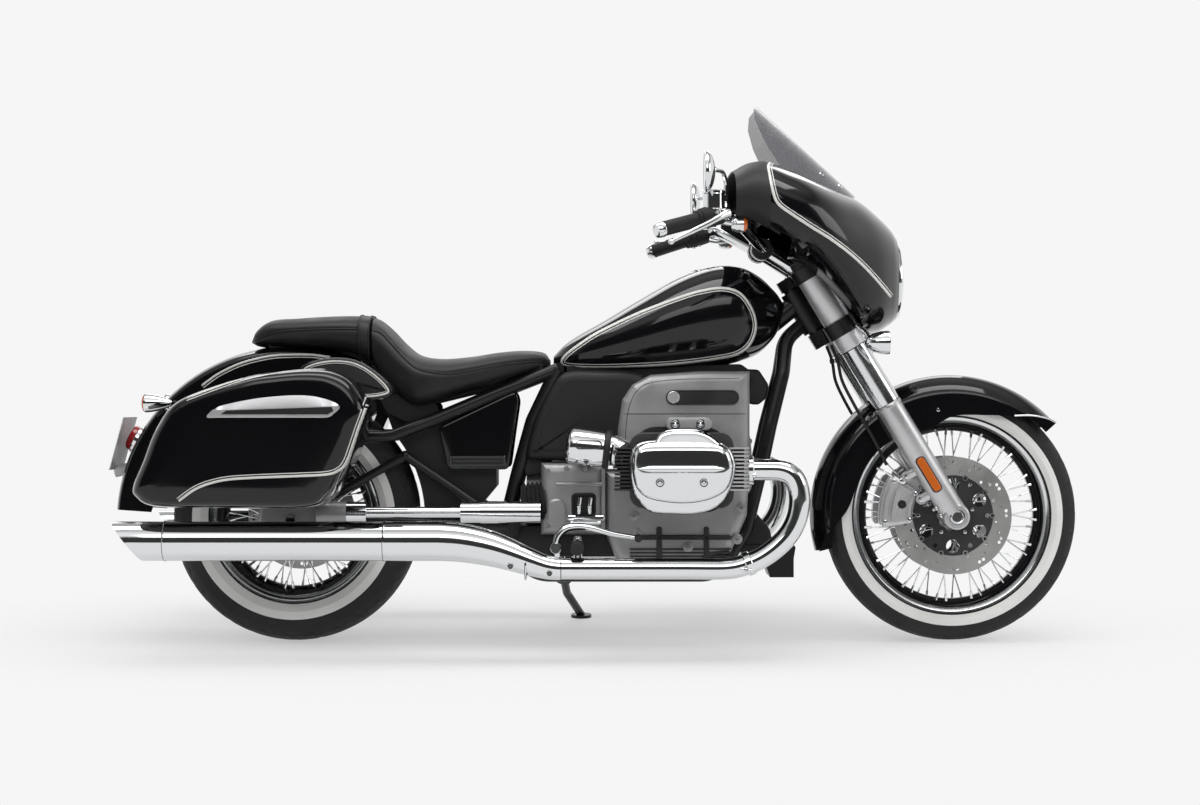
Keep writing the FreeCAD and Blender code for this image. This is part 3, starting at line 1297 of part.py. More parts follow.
def caliper_solid(centre, middle_y, disc_radius, start_turn, sweep):
    """A bridge astride the disc's rim with a running gap on all sides."""
    gap = size.running_gap
    half = size.disc_thickness / 2 + gap
    cheek = half + size.disc_thickness * 2.4
    inner, outer = disc_radius * 0.68, disc_radius + gap * 3.2
    points = [(middle_y - cheek, inner), (middle_y - cheek, outer), (middle_y + cheek, outer),
              (middle_y + cheek, inner), (middle_y + half, inner),
              (middle_y + half, disc_radius + gap), (middle_y - half, disc_radius + gap),
              (middle_y - half, inner)]
    return spun(points, centre, start_turn, sweep)


def make_calipers():
    front = caliper_solid(front_centre, -size.front_disc_place, size.front_disc_radius, 165, 42)
    lugs = rod(fork_point(-size.slider_radius * 0.8, -leg_y + size.slider_radius * 0.6,
                          size.front_disc_radius * 0.62),
               fork_point(-size.slider_radius * 2.2, -leg_y + size.slider_radius * 0.75,
                          size.front_disc_radius * 0.62), size.axle_radius)
    leg_room = Part.makeCylinder(size.slider_radius + size.seat_gap, size.leg_length,
                                 Vector(0, -leg_y, 0))
    leg_room.Placement = fork_place
    front = union([front, lugs]).cut(leg_room)
    node("front_calipers", feature("FrontCalipers", pair(largest(front))))
    rear = caliper_solid(rear_centre, size.rear_disc_place, size.rear_disc_radius, 60, 36)
    node("rear_caliper", feature("RearCaliper", rear))


# Brake hoses: places in the fork frame, as shares of the leg spacing and the yoke height
HOSE_SHARES = [(-0.17, -0.26, 0.985), (-0.20, -0.30, 0.91), (-0.275, -0.36, 0.82),
               (-0.30, -0.395, 0.72), (-0.31, -0.40, 0.60), (-0.32, -0.40, 0.48),
               (-0.34, -0.39, 0.37)]


def make_brake_hoses():
    """Two hoses from under the lower yoke behind the legs down to the calipers."""
    points = [fork_point(size.leg_spacing * u, size.leg_spacing * v,
                         size.lower_yoke_height * w) for u, v, w in HOSE_SHARES]
    hose = pipe(points, size.hose_radius * 12, size.hose_radius)
    node("brake_hoses", feature("BrakeHoses", pair(hose)))


# Side covers

COVER_SHARES = [(0.00, 0.52), (0.95, 0.97), (1.00, 0.85), (0.94, 0.44), (0.88, 0.00), (0.12, 0.00)]


def make_side_covers():
    outline = spread(COVER_SHARES, size.cover_x, size.cover_bottom, size.cover_length,
                     size.cover_height)
    far = size.cover_place + size.cover_thickness
    cover = prism(polygon(outline, -size.cover_place), -size.cover_thickness)
    edges = [edge for edge in cover.Edges if abs(edge.BoundBox.YMax + far) < size.seat_gap]
    cover = cover.makeFillet(size.cover_thickness * 0.6, edges)
    node("side_covers", feature("SideCovers", pair(largest(clear_of_frame(cover)))))


# Panniers

PANNIER_SHARES = [(0.20, 0.78), (0.47, 0.94), (0.63, 0.985), (0.76, 1.00), (0.86, 0.98),
                  (0.94, 0.90), (1.00, 0.72), (0.97, 0.56), (0.90, 0.28), (0.83, 0.08),
                  (0.73, 0.00), (0.40, 0.00), (0.10, 0.01), (0.01, 0.08), (0.00, 0.16),
                  (0.04, 0.33), (0.10, 0.58)]
# Depth and outline size of the stations from the inner to the outer wall
PANNIER_STATIONS_SHARES = [(0.0, 1.0), (0.4, 1.0), (0.75, 0.99), (0.92, 0.95), (1.0, 0.86)]


def pannier_solid(inset):
    wires = []
    length, height = size.pannier_length, size.pannier_height
    for depth_share, scale_share in PANNIER_STATIONS_SHARES:
        depth = inset + depth_share * (size.pannier_width - 2 * inset)
        fit = scale_share * (1 - 2 * inset / height)
        fit_x = scale_share * (1 - 2 * inset / length)
        points = [(0.5 + (u - 0.5) * fit_x, 0.5 + (v - 0.5) * fit) for u, v in PANNIER_SHARES]
        outline = spread(points, size.pannier_start, size.pannier_bottom, length, height)
        wires.append(smooth(outline, -size.pannier_inner - depth))
    return Part.makeLoft(wires, True, False)


# The speaker housing in front of the lid and the handle strip on its outer wall
PAD_SHARES = [(0.70, 0.99), (0.74, 1.05), (0.83, 1.08), (0.93, 1.064), (1.015, 0.985),
              (1.082, 0.87), (1.075, 0.80), (0.98, 0.77), (0.86, 0.80), (0.75, 0.88)]
HANDLE_SHARES = [(0.330, 0.648), (0.353, 0.695), (0.395, 0.739), (0.551, 0.792),
                 (0.717, 0.809), (0.821, 0.783), (0.884, 0.730), (0.831, 0.660),
                 (0.811, 0.648)]


def on_pannier(shares, y):
    return smooth(spread(shares, size.pannier_start, size.pannier_bottom, size.pannier_length,
                         size.pannier_height), y)


def pannier_trim():
    """The speaker housing and the handle strip, each sunk halfway into the lid's wall."""
    sunk = size.pannier_wall / 2
    start = -size.pannier_inner - size.pannier_width * 0.15
    depth = size.pannier_width * 0.47
    pad = prism(on_pannier(PAD_SHARES, start), -depth)
    edges = [edge for edge in pad.Edges
             if abs(edge.BoundBox.YMax - start + depth) < size.seat_gap]
    pad = largest(pad.makeFillet(size.pad_rounding, edges).cut(pannier_solid(sunk)))
    outer = size.pannier_inner + size.pannier_width
    far = -outer - size.pannier_handle_depth
    strip = prism(polygon(spread(HANDLE_SHARES, size.pannier_start, size.pannier_bottom,
                                 size.pannier_length, size.pannier_height), -outer + sunk),
                  -size.pannier_handle_depth - sunk)
    edges = [edge for edge in strip.Edges if abs(edge.BoundBox.YMax - far) < size.seat_gap]
    strip = strip.makeFillet(size.pannier_handle_depth * 0.4, edges)
    reach = size.pannier_length * 2
    case_room = Part.makeBox(reach, outer + size.lid_gap, reach,
                             Vector(-reach / 2, -outer - size.lid_gap,
                                    size.pannier_seam + size.lid_gap - reach))
    return [pad, strip.cut(case_room)]


def make_panniers():
    outer = pannier_solid(0.0)
    shell = outer.cut(pannier_solid(size.pannier_wall))
    seam = size.pannier_seam
    big = size.pannier_length * 2
    back = size.pannier_inner + size.pannier_wall
    corner = Vector(-big / 2, -big, seam)
    above = Part.makeBox(big, big - back, big, corner)
    lid_room = Part.makeBox(big, big - back - size.lid_gap, big, corner + AXIS_Z * size.lid_gap)
    case = largest(shell.cut(above))
    lid = largest(union([largest(shell.common(lid_room))] + pannier_trim()))
    for side_name, side in SIDES.items():
        node(f"pannier_case_{side_name}", feature(f"PannierCase{side_name}",
                                                  case if side < 0 else reflect(case)))
        node(f"pannier_lid_{side_name}", feature(f"PannierLid{side_name}",
                                                 lid if side < 0 else reflect(lid)))


make_calipers()
make_brake_hoses()
make_side_covers()
make_panniers()

# Lamps, plate and signals at the tail


def make_tail():
    centre = Vector(size.rear_fender_centre_x, 0, size.rear_fender_centre_height)
    radius = size.rear_fender_radius

    def on_fender(turn, out):
        angle = math.radians(turn)
        return centre + Vector(math.cos(angle), 0, math.sin(angle)) * (radius + out)

    lamp_turn = 153
    outward = (on_fender(lamp_turn, size.tail_lamp_depth) - on_fender(lamp_turn, 0.0)).normalize()
    lamp = Part.makeCylinder(size.tail_lamp_radius, size.tail_lamp_depth * 1.6,
                             on_fender(lamp_turn, -size.tail_lamp_depth * 0.6), outward)
    grown = fender_ring(size.seat_gap)
    node("tail_lamp", feature("TailLamp", largest(lamp.cut(grown))))

    plate_top = on_fender(148, size.plate_width * 0.28)
    plate_low = on_fender(165, size.plate_width * 0.16)
    down = (plate_low - plate_top).normalize()
    normal = Vector(down.z, 0, -down.x)
    plate = Part.makeBox(size.plate_height, size.plate_width, size.plate_thickness)
    turn = Rotation(down, AXIS_Y, normal, "XYZ")
    plate.Placement = Placement(plate_top - AXIS_Y * size.plate_width / 2, turn)
    arm = rod(on_fender(163, 0.0), plate_low, size.plate_width / 12)
    bracket = union([plate, arm]).cut(grown)
    node("plate_bracket", feature("PlateBracket", largest(bracket)))

    signals = []
    base = on_fender(139, size.signal_radius * 0.4)
    tail = Vector(base.x, -size.signal_half_spacing, base.z)
    stations = [(tail + AXIS_X * size.signal_length * 0.7, size.signal_radius * 0.45),
                (tail + AXIS_X * size.signal_length * 0.4, size.signal_radius * 0.85),
                (tail, size.signal_radius), (tail - AXIS_X * size.signal_length * 0.15,
                                             size.signal_radius * 0.95)]
    stem = rod(tail, Vector(base.x + size.signal_length, -size.rear_fender_width * 0.42,
                            base.z - size.signal_radius), size.signal_radius * 0.35)
    signal = union([round_loft(stations), stem]).cut(grown)
    node("rear_signals", feature("RearSignals", pair(largest(signal))))


make_tail()

# Footrests, foot controls and deflector


def make_footrests():
    inner = size.cradle_half_width + size.footrest_radius
    arm = Part.makeCylinder(size.footrest_radius * 0.6, size.footrest_reach - inner
                            - size.footrest_rubber_length / 2,
                            Vector(size.footrest_x, -size.footrest_reach
                                   + size.footrest_rubber_length / 2, size.footrest_height),
                            AXIS_Y)
    rubber = Part.makeCylinder(size.footrest_radius, size.footrest_rubber_length,
                               Vector(size.footrest_x, -size.footrest_reach,
                                      size.footrest_height), AXIS_Y)
    hanger = rod(Vector(size.footrest_x, -inner, size.footrest_height
                        + size.footrest_radius),
                 Vector(size.footrest_x, -size.cradle_half_width, size.cradle_height),
                 size.footrest_radius * 0.7)
    rest = union([arm, rubber, hanger])
    node("footrests", feature("Footrests", pair(largest(clear_of_frame(rest)))))


PEDAL_SHARES = [(0.00, 0.00), (0.02, 0.60), (0.22, 1.00), (0.45, 0.96), (0.70, 0.66), (1.00, 0.48)]


def make_foot_controls():
    """The brake pedal on the right and the heel and toe shift lever on the left."""
    points = [Vector(x, -size.pedal_place, z) for x, z in
              spread(PEDAL_SHARES, size.pedal_x, size.pedal_height, size.pedal_length,
                     size.pedal_rise)]
    pedal = pipe(points, size.pedal_rise, size.pedal_radius)
    pad = Part.makeCylinder(size.pedal_radius * 1.3, size.pedal_radius * 7,
                            points[-1] + AXIS_Y * size.pedal_radius * 2, AXIS_Y * -1)
    heel = rod(points[0], Vector(points[0].x, -size.cradle_half_width, points[0].z
                                 - size.pedal_radius), size.pedal_radius * 1.2)
    pedal = clear_of_frame(union([pedal, pad, heel]))
    drop = rod(Vector(points[0].x, -size.cradle_half_width - size.frame_tube_radius * 1.5,
                      points[0].z), Vector(points[0].x, -size.cradle_half_width
                                           - size.frame_tube_radius * 0.6, size.cradle_height),
               size.pedal_radius * 1.2)
    pedal = clear_of_frame(union([pedal, drop]))
    node("foot_controls", feature("FootControls", pair(largest(pedal))))


DEFLECTOR_SHARES = [(0.00, 1.00), (1.00, 1.00), (1.00, 0.00), (0.55, 0.00), (0.38, 0.75),
                    (0.00, 0.75)]


def make_deflector():
    outline = spread(DEFLECTOR_SHARES, size.deflector_x, size.deflector_bottom,
                     size.deflector_length, size.deflector_height)
    wedge = across(outline, size.deflector_width / 2)
    node("deflector", feature("Deflector", largest(clear_of_frame(wedge))))


make_footrests()
make_foot_controls()
make_deflector()

# Side stand

lean = math.radians(size.lean_angle)


def tyre_crown(radius, width, rim_radius):
    """The radius of the tread across the tyre."""
    half, sagitta = width / 2 * 0.82, (radius - rim_radius) * 0.22
    return (half * half + sagitta * sagitta) / (2 * sagitta)


lift = tyre_crown(size.rear_tyre_radius, size.rear_tyre_width, size.rear_rim_radius) * (
    1 - math.cos(lean))


def ground_height(y):
    """Where the leaned motorcycle's ground lies at a place across it."""
    return (y * math.sin(lean) - lift) / math.cos(lean)


stand_pivot = Vector(size.stand_x, size.stand_place, size.stand_height)
stand_foot = Vector(size.stand_foot_x, size.stand_foot_place,
                    ground_height(size.stand_foot_place))
ground_normal = Vector(0, -math.sin(lean), math.cos(lean))
stand_folded_way = Vector(-1, 0.06, 0.05).normalize()
stand_axis = (stand_foot - stand_pivot).cross(stand_folded_way).normalize()
lid_hinge_height = size.pannier_bottom + size.pannier_height + size.lid_gap * 4


def make_side_stand():
    ankle = stand_foot + ground_normal * (size.stand_foot_thickness * 0.8)
    leg = pipe([stand_pivot, stand_pivot + (ankle - stand_pivot) * 0.4
                - AXIS_X * size.stand_radius, ankle], size.stand_radius * 4, size.stand_radius)
    foot = Part.makeCylinder(size.stand_foot_radius, size.stand_foot_thickness, stand_foot,
                             ground_normal)
    under = Part.makeCylinder(size.stand_foot_radius * 2, size.cut_overrun, stand_foot,
                              ground_normal * -1)
    boss = Part.makeCylinder(size.stand_boss_radius, size.stand_boss_radius,
                             stand_pivot - stand_axis * size.stand_boss_radius / 2, stand_axis)
    node("side_stand", feature("SideStand", union([leg, foot, boss]).cut(under)))


make_side_stand()

# Park the motorcycle: lean it on its stand and set the origin under its middle

park = Placement(Vector(0, 0, lift), Rotation(AXIS_X, -size.lean_angle))
doc.recompute()
for item, frame in nodes.values():
    item.Placement = park.multiply(frame).multiply(item.Placement)
doc.recompute()
whole = FreeCAD.BoundBox()
for item, frame in nodes.values():
    whole.add(item.Shape.optimalBoundingBox(False, False))
middle = Placement(Vector(-whole.Center.x, -whole.Center.y, 0), Rotation())
for item, frame in nodes.values():
    item.Placement = middle.multiply(item.Placement)
doc.recompute()


def parked(point):
    return middle.multiply(park).multVec(point)


def parked_way(way):
    return park.Rotation.multVec(way)


print("size", whole.XLength, whole.YLength, whole.ZMin, whole.ZMax)
print("front wheel", parked(front_centre), parked_way(AXIS_Y))
print("rear wheel", parked(rear_centre))
print("steering", parked(steering_point), parked_way(steering_axis))
print("stand", parked(stand_pivot), parked_way(stand_axis))
for name, side in SIDES.items():
    hinge = Vector(0, side * (size.pannier_inner + size.pannier_wall / 2), lid_hinge_height)
    print("lid hinge", name, parked(hinge))
print("stand swing", math.degrees((stand_foot - stand_pivot).getAngle(stand_folded_way)))

for item in doc.Objects:
    if "Invalid" in item.State or "Error" in item.State:
        raise RuntimeError(f"{item.Name} failed: {item.State}")
for name, (item, frame) in nodes.items():
    if item.Shape.isNull() or not item.Shape.isValid():
        raise RuntimeError(f"{name} has no valid shape")
for name, (item, frame) in nodes.items():
    item.Shape.exportStep(f"parts/{name}.step")
print(len(nodes), "sub-parts")
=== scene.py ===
import json
from math import atan2, copysign, cos, exp, hypot, pi, radians, sin, sqrt, tan

import bmesh
import bpy
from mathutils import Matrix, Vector
from mathutils.bvhtree import BVHTree


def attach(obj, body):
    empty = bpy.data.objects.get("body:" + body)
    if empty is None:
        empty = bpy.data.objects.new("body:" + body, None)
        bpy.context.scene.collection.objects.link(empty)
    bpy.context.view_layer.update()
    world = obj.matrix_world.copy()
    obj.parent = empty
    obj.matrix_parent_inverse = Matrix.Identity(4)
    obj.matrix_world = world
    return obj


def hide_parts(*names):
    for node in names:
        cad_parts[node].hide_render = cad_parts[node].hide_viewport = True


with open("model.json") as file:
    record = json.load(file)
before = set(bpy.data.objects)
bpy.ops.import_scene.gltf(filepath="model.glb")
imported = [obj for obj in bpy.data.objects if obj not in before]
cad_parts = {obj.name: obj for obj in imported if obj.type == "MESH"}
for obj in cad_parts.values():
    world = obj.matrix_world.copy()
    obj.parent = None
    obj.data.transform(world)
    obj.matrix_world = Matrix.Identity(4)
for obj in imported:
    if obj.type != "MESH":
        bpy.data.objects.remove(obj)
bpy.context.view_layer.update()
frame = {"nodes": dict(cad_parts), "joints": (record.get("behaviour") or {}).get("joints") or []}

# All shapes below are given upright in millimetres: X forward from the rear axle,
# Y to the motorcycle's left, Z up from the ground. at() leans them as it parks.

MM = 0.001
LEAN = radians(5)
RAKE = radians(31.2)
WHEELBASE = 1695
FRONT_RADIUS = 326
REAR_RADIUS = 320
JOINTS = {joint["name"]: joint for joint in frame["joints"]}
REAR_AXLE = Vector(JOINTS["rear_wheel_spin"]["pos_m"])
SIDES = {"right": -1, "left": 1}


def at(x, y, z):
    """The place in the row frame of an upright point."""
    rise = z - REAR_RADIUS
    return REAR_AXLE + Vector((x, y * cos(LEAN) + rise * sin(LEAN),
        rise * cos(LEAN) - y * sin(LEAN))) * MM


def upright_way(way):
    """A direction of the row frame, as it is on the upright motorcycle."""
    return Vector((way.x, way.y * cos(LEAN) - way.z * sin(LEAN),
        way.z * cos(LEAN) + way.y * sin(LEAN)))


def upright(spot):
    """The upright place in millimetres of a point in the row frame."""
    return upright_way((spot - REAR_AXLE) / MM) + Vector((0, 0, REAR_RADIUS))


def fork(x, y, z):
    """An upright point from the frame along the fork legs, from the front axle."""
    return (WHEELBASE + x * cos(RAKE) - z * sin(RAKE), y,
        FRONT_RADIUS + x * sin(RAKE) + z * cos(RAKE))


# Materials

NOISE_LOW, NOISE_HIGH = 0.3, 0.7
NOISE_DETAIL = 4.0
BROAD_SCALE = 9.0


def add(tree, kind, inputs=None, **settings):
    """A new node whose inputs are set, or linked where the value is another node's socket."""
    node = tree.nodes.new("ShaderNode" + kind)
    for key, value in settings.items():
        setattr(node, key, value)
    plug(tree, node, inputs or {})
    return node


def plug(tree, node, inputs):
    for key, value in inputs.items():
        if isinstance(value, bpy.types.NodeSocket):
            tree.links.new(value, node.inputs[key])
        else:
            node.inputs[key].default_value = value


def surface(name, colour, metallic=0.0, roughness=0.5, **sockets):
    mat = bpy.data.materials.new(name)
    mat.use_nodes = True
    shader = {"Base Color": (*colour, 1), "Metallic": metallic, "Roughness": roughness}
    shader.update((key.replace("_", " "), value) for key, value in sockets.items())
    shade(mat, shader)
    mat.diffuse_color = (*colour, 1)
    return mat


def shade(mat, inputs):
    """Set or link inputs of a material's shader."""
    plug(mat.node_tree, mat.node_tree.nodes["Principled BSDF"], inputs)


def place_of(tree):
    """The place of a point on its object."""
    return add(tree, "TexCoord").outputs["Object"]


def noise_of(tree, scale):
    return add(tree, "TexNoise", {"Scale": scale, "Detail": NOISE_DETAIL,
        "Vector": place_of(tree)}).outputs["Fac"]


def ranged(tree, source, low, high, start=NOISE_LOW, end=NOISE_HIGH, **settings):
    return add(tree, "MapRange", {"From Min": start, "From Max": end, "To Min": low, "To Max": high,
        "Value": source}, **settings).outputs["Result"]


def ramped(tree, source, stops):
    """Colours along a value, from (place, colour) stops."""
    ramp = add(tree, "ValToRGB", {"Fac": source})
    while len(ramp.color_ramp.elements) < len(stops):
        ramp.color_ramp.elements.new(0.5)
    for element, (place, colour) in zip(ramp.color_ramp.elements, stops):
        element.position = place
        element.color = (*colour, 1)
    return ramp.outputs["Color"]


def varied(mat, source, low, high, dark=None, light=None):
    """Let a value vary the roughness and, where asked, the colour between two tones."""
    shade(mat, {"Roughness": ranged(mat.node_tree, source, low, high)})
    if dark:
        shade(mat, {"Base Color": ramped(mat.node_tree, source,
            [(NOISE_LOW, dark), (NOISE_HIGH, light)])})


def bumped(mat, source, strength, distance):
    bump = add(mat.node_tree, "Bump", {"Strength": strength, "Distance": distance,
        "Height": source})
    shade(mat, {"Normal": bump.outputs["Normal"]})


def finish(name, colour, metallic, roughness, scale, bump, distance, low, high, dark=None,
        light=None, **sockets):
    """A surface with fine noise in its bump, its roughness and, where asked, its colour."""
    mat = surface(name, colour, metallic, roughness, **sockets)
    bumped(mat, noise_of(mat.node_tree, scale), bump, distance)
    varied(mat, noise_of(mat.node_tree, BROAD_SCALE), low, high, dark, light)
    return mat


# Each name is followed by the colour, metallic and roughness, the scale, strength and distance of
# the bump, the lowest and highest roughness and, where it varies, the darkest and lightest colour
paint = finish("black_gloss_paint", (0.004, 0.004, 0.005), 0, 0.1, 900, 0.02, 0.0001, 0.06, 0.13,
    Coat_Weight=0.5, Coat_Roughness=0.03, Coat_IOR=1.35, Specular_IOR_Level=0.3)
frame_black = finish("black_satin_paint", (0.008, 0.008, 0.009), 0, 0.3, 700, 0.08, 0.0002, 0.24,
    0.38, Specular_IOR_Level=0.35)
chrome = finish("chrome", (0.75, 0.76, 0.77), 1, 0.05, 60, 0.01, 0.0002, 0.03, 0.09)
polished = finish("polished_aluminium", (0.72, 0.73, 0.74), 1, 0.15, 300, 0.04, 0.0001, 0.1, 0.22)
satin_metal = finish("satin_aluminium", (0.6, 0.6, 0.61), 0.75, 0.36, 900, 0.1, 0.0001, 0.3, 0.44,
    (0.56, 0.56, 0.57), (0.64, 0.64, 0.65))
cast_grey = finish("cast_grey", (0.36, 0.36, 0.365), 0.5, 0.44, 1300, 0.25, 0.0003, 0.38, 0.52,
    (0.3, 0.3, 0.305), (0.42, 0.42, 0.425))
engine_dark = finish("engine_dark", (0.03, 0.03, 0.032), 0.3, 0.5, 1200, 0.25, 0.0003, 0.4, 0.6,
    (0.02, 0.02, 0.021), (0.045, 0.045, 0.047))
disc_steel = finish("disc_steel", (0.55, 0.55, 0.55), 1, 0.3, 700, 0.05, 0.0001, 0.26, 0.38,
    (0.5, 0.5, 0.49), (0.6, 0.6, 0.59))
rubber = finish("tyre_rubber", (0.012, 0.012, 0.012), 0, 0.75, 900, 0.3, 0.0004, 0.6, 0.85,
    (0.009, 0.009, 0.009), (0.018, 0.018, 0.018))
whitewall = finish("white_rubber", (0.82, 0.82, 0.8), 0, 0.55, 500, 0.15, 0.0003, 0.45, 0.65,
    (0.78, 0.78, 0.76), (0.86, 0.86, 0.84))
plastic = finish("black_plastic", (0.012, 0.012, 0.013), 0, 0.55, 1500, 0.3, 0.0003, 0.48, 0.62,
    Specular_IOR_Level=0.35)
stripe_white = finish("stripe_white", (0.72, 0.71, 0.68), 0, 0.3, 700, 0.05, 0.0001, 0.24, 0.36)
dark_glass = finish("smoked_screen", (0.1, 0.1, 0.115), 0, 0.06, 40, 0.01, 0.0002, 0.04, 0.09,
    Alpha=0.46)
red_glass = finish("red_lens", (0.32, 0.004, 0.006), 0, 0.12, 400, 0.1, 0.0003, 0.08, 0.16,
    Coat_Weight=0.5)
amber_glass = finish("amber_lens", (0.62, 0.13, 0.01), 0, 0.15, 400, 0.1, 0.0003, 0.1, 0.2,
    Coat_Weight=0.5)
clear_glass = finish("clear_lens", (0.7, 0.72, 0.74), 0.6, 0.1, 300, 0.05, 0.0002, 0.06, 0.14,
    Coat_Weight=0.8)
plate_white = finish("plate_white", (0.6, 0.6, 0.6), 0, 0.4, 300, 0.05, 0.0002, 0.34, 0.46)
mirror_glass = finish("mirror_glass", (0.82, 0.83, 0.84), 1, 0.03, 40, 0.005, 0.0001, 0.02, 0.05)


def leather_material():
    """Fine pebbled leather with creases and softly worn tone."""
    mat = surface("black_leather", (0.012, 0.012, 0.012), roughness=0.5, Specular_IOR_Level=0.35)
    tree = mat.node_tree
    cells = add(tree, "TexVoronoi", {"Scale": 520, "Vector": place_of(tree)},
        feature="DISTANCE_TO_EDGE")
    bumped(mat, ranged(tree, cells.outputs["Distance"], 0, 1, 0.0, 0.25), 0.25, 0.0004)
    varied(mat, noise_of(tree, 14), 0.42, 0.58, (0.009, 0.009, 0.009), (0.018, 0.018, 0.018))
    return mat


leather = leather_material()

CAD_FINISH = {
    paint: ["fuel_tank", "front_fender", "rear_fender", "fairing_shell", "pannier_case_right",
        "pannier_case_left", "pannier_lid_right", "pannier_lid_left", "side_covers"],
    frame_black: ["main_frame", "swingarm", "fork_yokes", "deflector", "side_stand"],
    cast_grey: ["engine_block", "gearbox", "final_drive"],
    engine_dark: ["cylinders"],
    satin_metal: ["fork_legs", "front_calipers", "rear_caliper"],
    chrome: ["rocker_covers", "intakes", "headers", "silencers", "fuel_cap", "handlebar", "levers",
        "mirrors", "rear_signals", "foot_controls", "drive_shaft", "front_lamps", "front_axle",
        "rear_axle"],
    polished: ["front_wheel", "rear_wheel"],
    disc_steel: ["front_discs", "rear_disc"],
    rubber: ["front_tyre", "rear_tyre"],
    plastic: ["airbox", "battery_box", "fairing_dash", "hand_controls", "brake_hoses", "footrests"],
    leather: ["rider_seat", "passenger_seat"],
    dark_glass: ["windscreen"],
    red_glass: ["tail_lamp"],
    plate_white: ["plate_bracket"],
}
for mat, names in CAD_FINISH.items():
    for name in names:
        mats = frame["nodes"][name].data.materials
        mats.clear()
        mats.append(mat)

# Pieces


def placed(name, data):
    """A new object of the scene."""
    obj = bpy.data.objects.new(name, data)
    bpy.context.scene.collection.objects.link(obj)
    return obj


WELD = 0.00005
TINY_EDGE = 0.00001


def build(name, shape, mats, body, slot, replaces=None, picks=None, sharp=38, thickness=0.0):
    """Make a piece of the part from a shape and let it ride on a body."""
    verts, faces = shape
    mesh = bpy.data.meshes.new(name)
    mesh.from_pydata([at(*vert) for vert in verts], [], faces)
    mats = mats if isinstance(mats, (list, tuple)) else [mats]
    for mat in mats:
        mesh.materials.append(mat)
    if picks:
        for polygon, pick in zip(mesh.polygons, picks):
            polygon.material_index = pick
    work = bmesh.new()
    work.from_mesh(mesh)
    bmesh.ops.remove_doubles(work, verts=work.verts, dist=WELD)
    bmesh.ops.dissolve_degenerate(work, edges=work.edges, dist=TINY_EDGE)
    bmesh.ops.recalc_face_normals(work, faces=work.faces)
    work.to_mesh(mesh)
    work.free()
    mesh.shade_smooth()
    mesh.set_sharp_from_angle(angle=radians(sharp))
    obj = placed(name, mesh)
    if thickness:
        shell = obj.modifiers.new("wall", "SOLIDIFY")
        shell.thickness = thickness * MM
        shell.offset = -1
        crease = obj.modifiers.new("creases", "EDGE_SPLIT")
        crease.split_angle = radians(sharp)
    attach(obj, body)
    if replaces:
        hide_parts(replaces)
    return obj


# Shape helpers: a shape is its vertices in upright millimetres and its faces


def joined(*shapes):
    verts, faces = [], []
    for more_verts, more_faces in shapes:
        start = len(verts)
        verts += more_verts
        faces += [tuple(index + start for index in face) for face in more_faces]
    return verts, faces


def flipped(shape):
    """The shape on the other side of the motorcycle."""
    verts, faces = shape
    return [(x, -y, z) for x, y, z in verts], [tuple(reversed(face)) for face in faces]


def both(*shapes):
    """The shapes and their mirror images, as one."""
    shape = joined(*shapes)
    return joined(shape, flipped(shape))


def rings(rows, cap_start=True, cap_end=True, closed=True, looped=False):
    """Faces between rings of equally many points."""
    count = len(rows[0])
    verts = [tuple(point) for row in rows for point in row]
    faces = []
    last = len(rows) if looped else len(rows) - 1
    around = count if closed else count - 1
    for index in range(last):
        here, ahead = index * count, (index + 1) % len(rows) * count
        for step in range(around):
            after = (step + 1) % count
            faces.append((here + step, here + after, ahead + after, ahead + step))
    if cap_start and not looped:
        faces.append(tuple(range(count))[::-1])
    if cap_end and not looped:
        start = (len(rows) - 1) * count
        faces.append(tuple(range(start, start + count)))
    return verts, faces


def turns(steps):
    """Angles once round."""
    return [2 * pi * step / steps for step in range(steps)]


def mirrored(half):
    """A profile of (along, radius) that starts with the mirror image of its end."""
    return [(-along, radius) for along, radius in half] + half[::-1]


def heading(path, index, closed):
    """The way from the point before to the point after one on a path."""
    if closed:
        return path[(index + 1) % len(path)] - path[index - 1]
    return path[min(index + 1, len(path) - 1)] - path[max(index - 1, 0)]


def about_y(x, y, z):
    def spot(along, radius, turn):
        return (x + radius * cos(turn), y + along, z + radius * sin(turn))
    return spot


def about_x(x, y, z):
    def spot(along, radius, turn):
        return (x + along, y + radius * cos(turn), z + radius * sin(turn))
    return spot


def about_z(x, y, z):
    def spot(along, radius, turn):
        return (x + radius * cos(turn), y + radius * sin(turn), z + along)
    return spot


def about_leg(y):
    """About a line along the fork legs."""
    def spot(along, radius, turn):
        return fork(radius * cos(turn), y + radius * sin(turn), along)
    return spot


def about_line(start, end):
    start, end = Vector(start), Vector(end)
    along_way = (end - start).normalized()
    side = along_way.orthogonal().normalized()
    other = along_way.cross(side)

    def spot(along, radius, turn):
        return tuple(start + along_way * along + side * radius * cos(turn)
            + other * radius * sin(turn))
    return spot


def lathe(profile, spot, steps=48, closed=False):
    """Turn a profile of (along, radius) about a line; a closed one makes a ring."""
    rows = [[spot(along, radius, turn) for along, radius in profile] for turn in turns(steps)]
    return rings(rows, closed=closed, looped=True)


def sleeve(start, end, inner, outer, spot, steps):
    """A plain ring between two places and two radii."""
    return lathe([(start, inner), (start, outer), (end, outer), (end, inner)], spot, steps,
        closed=True)


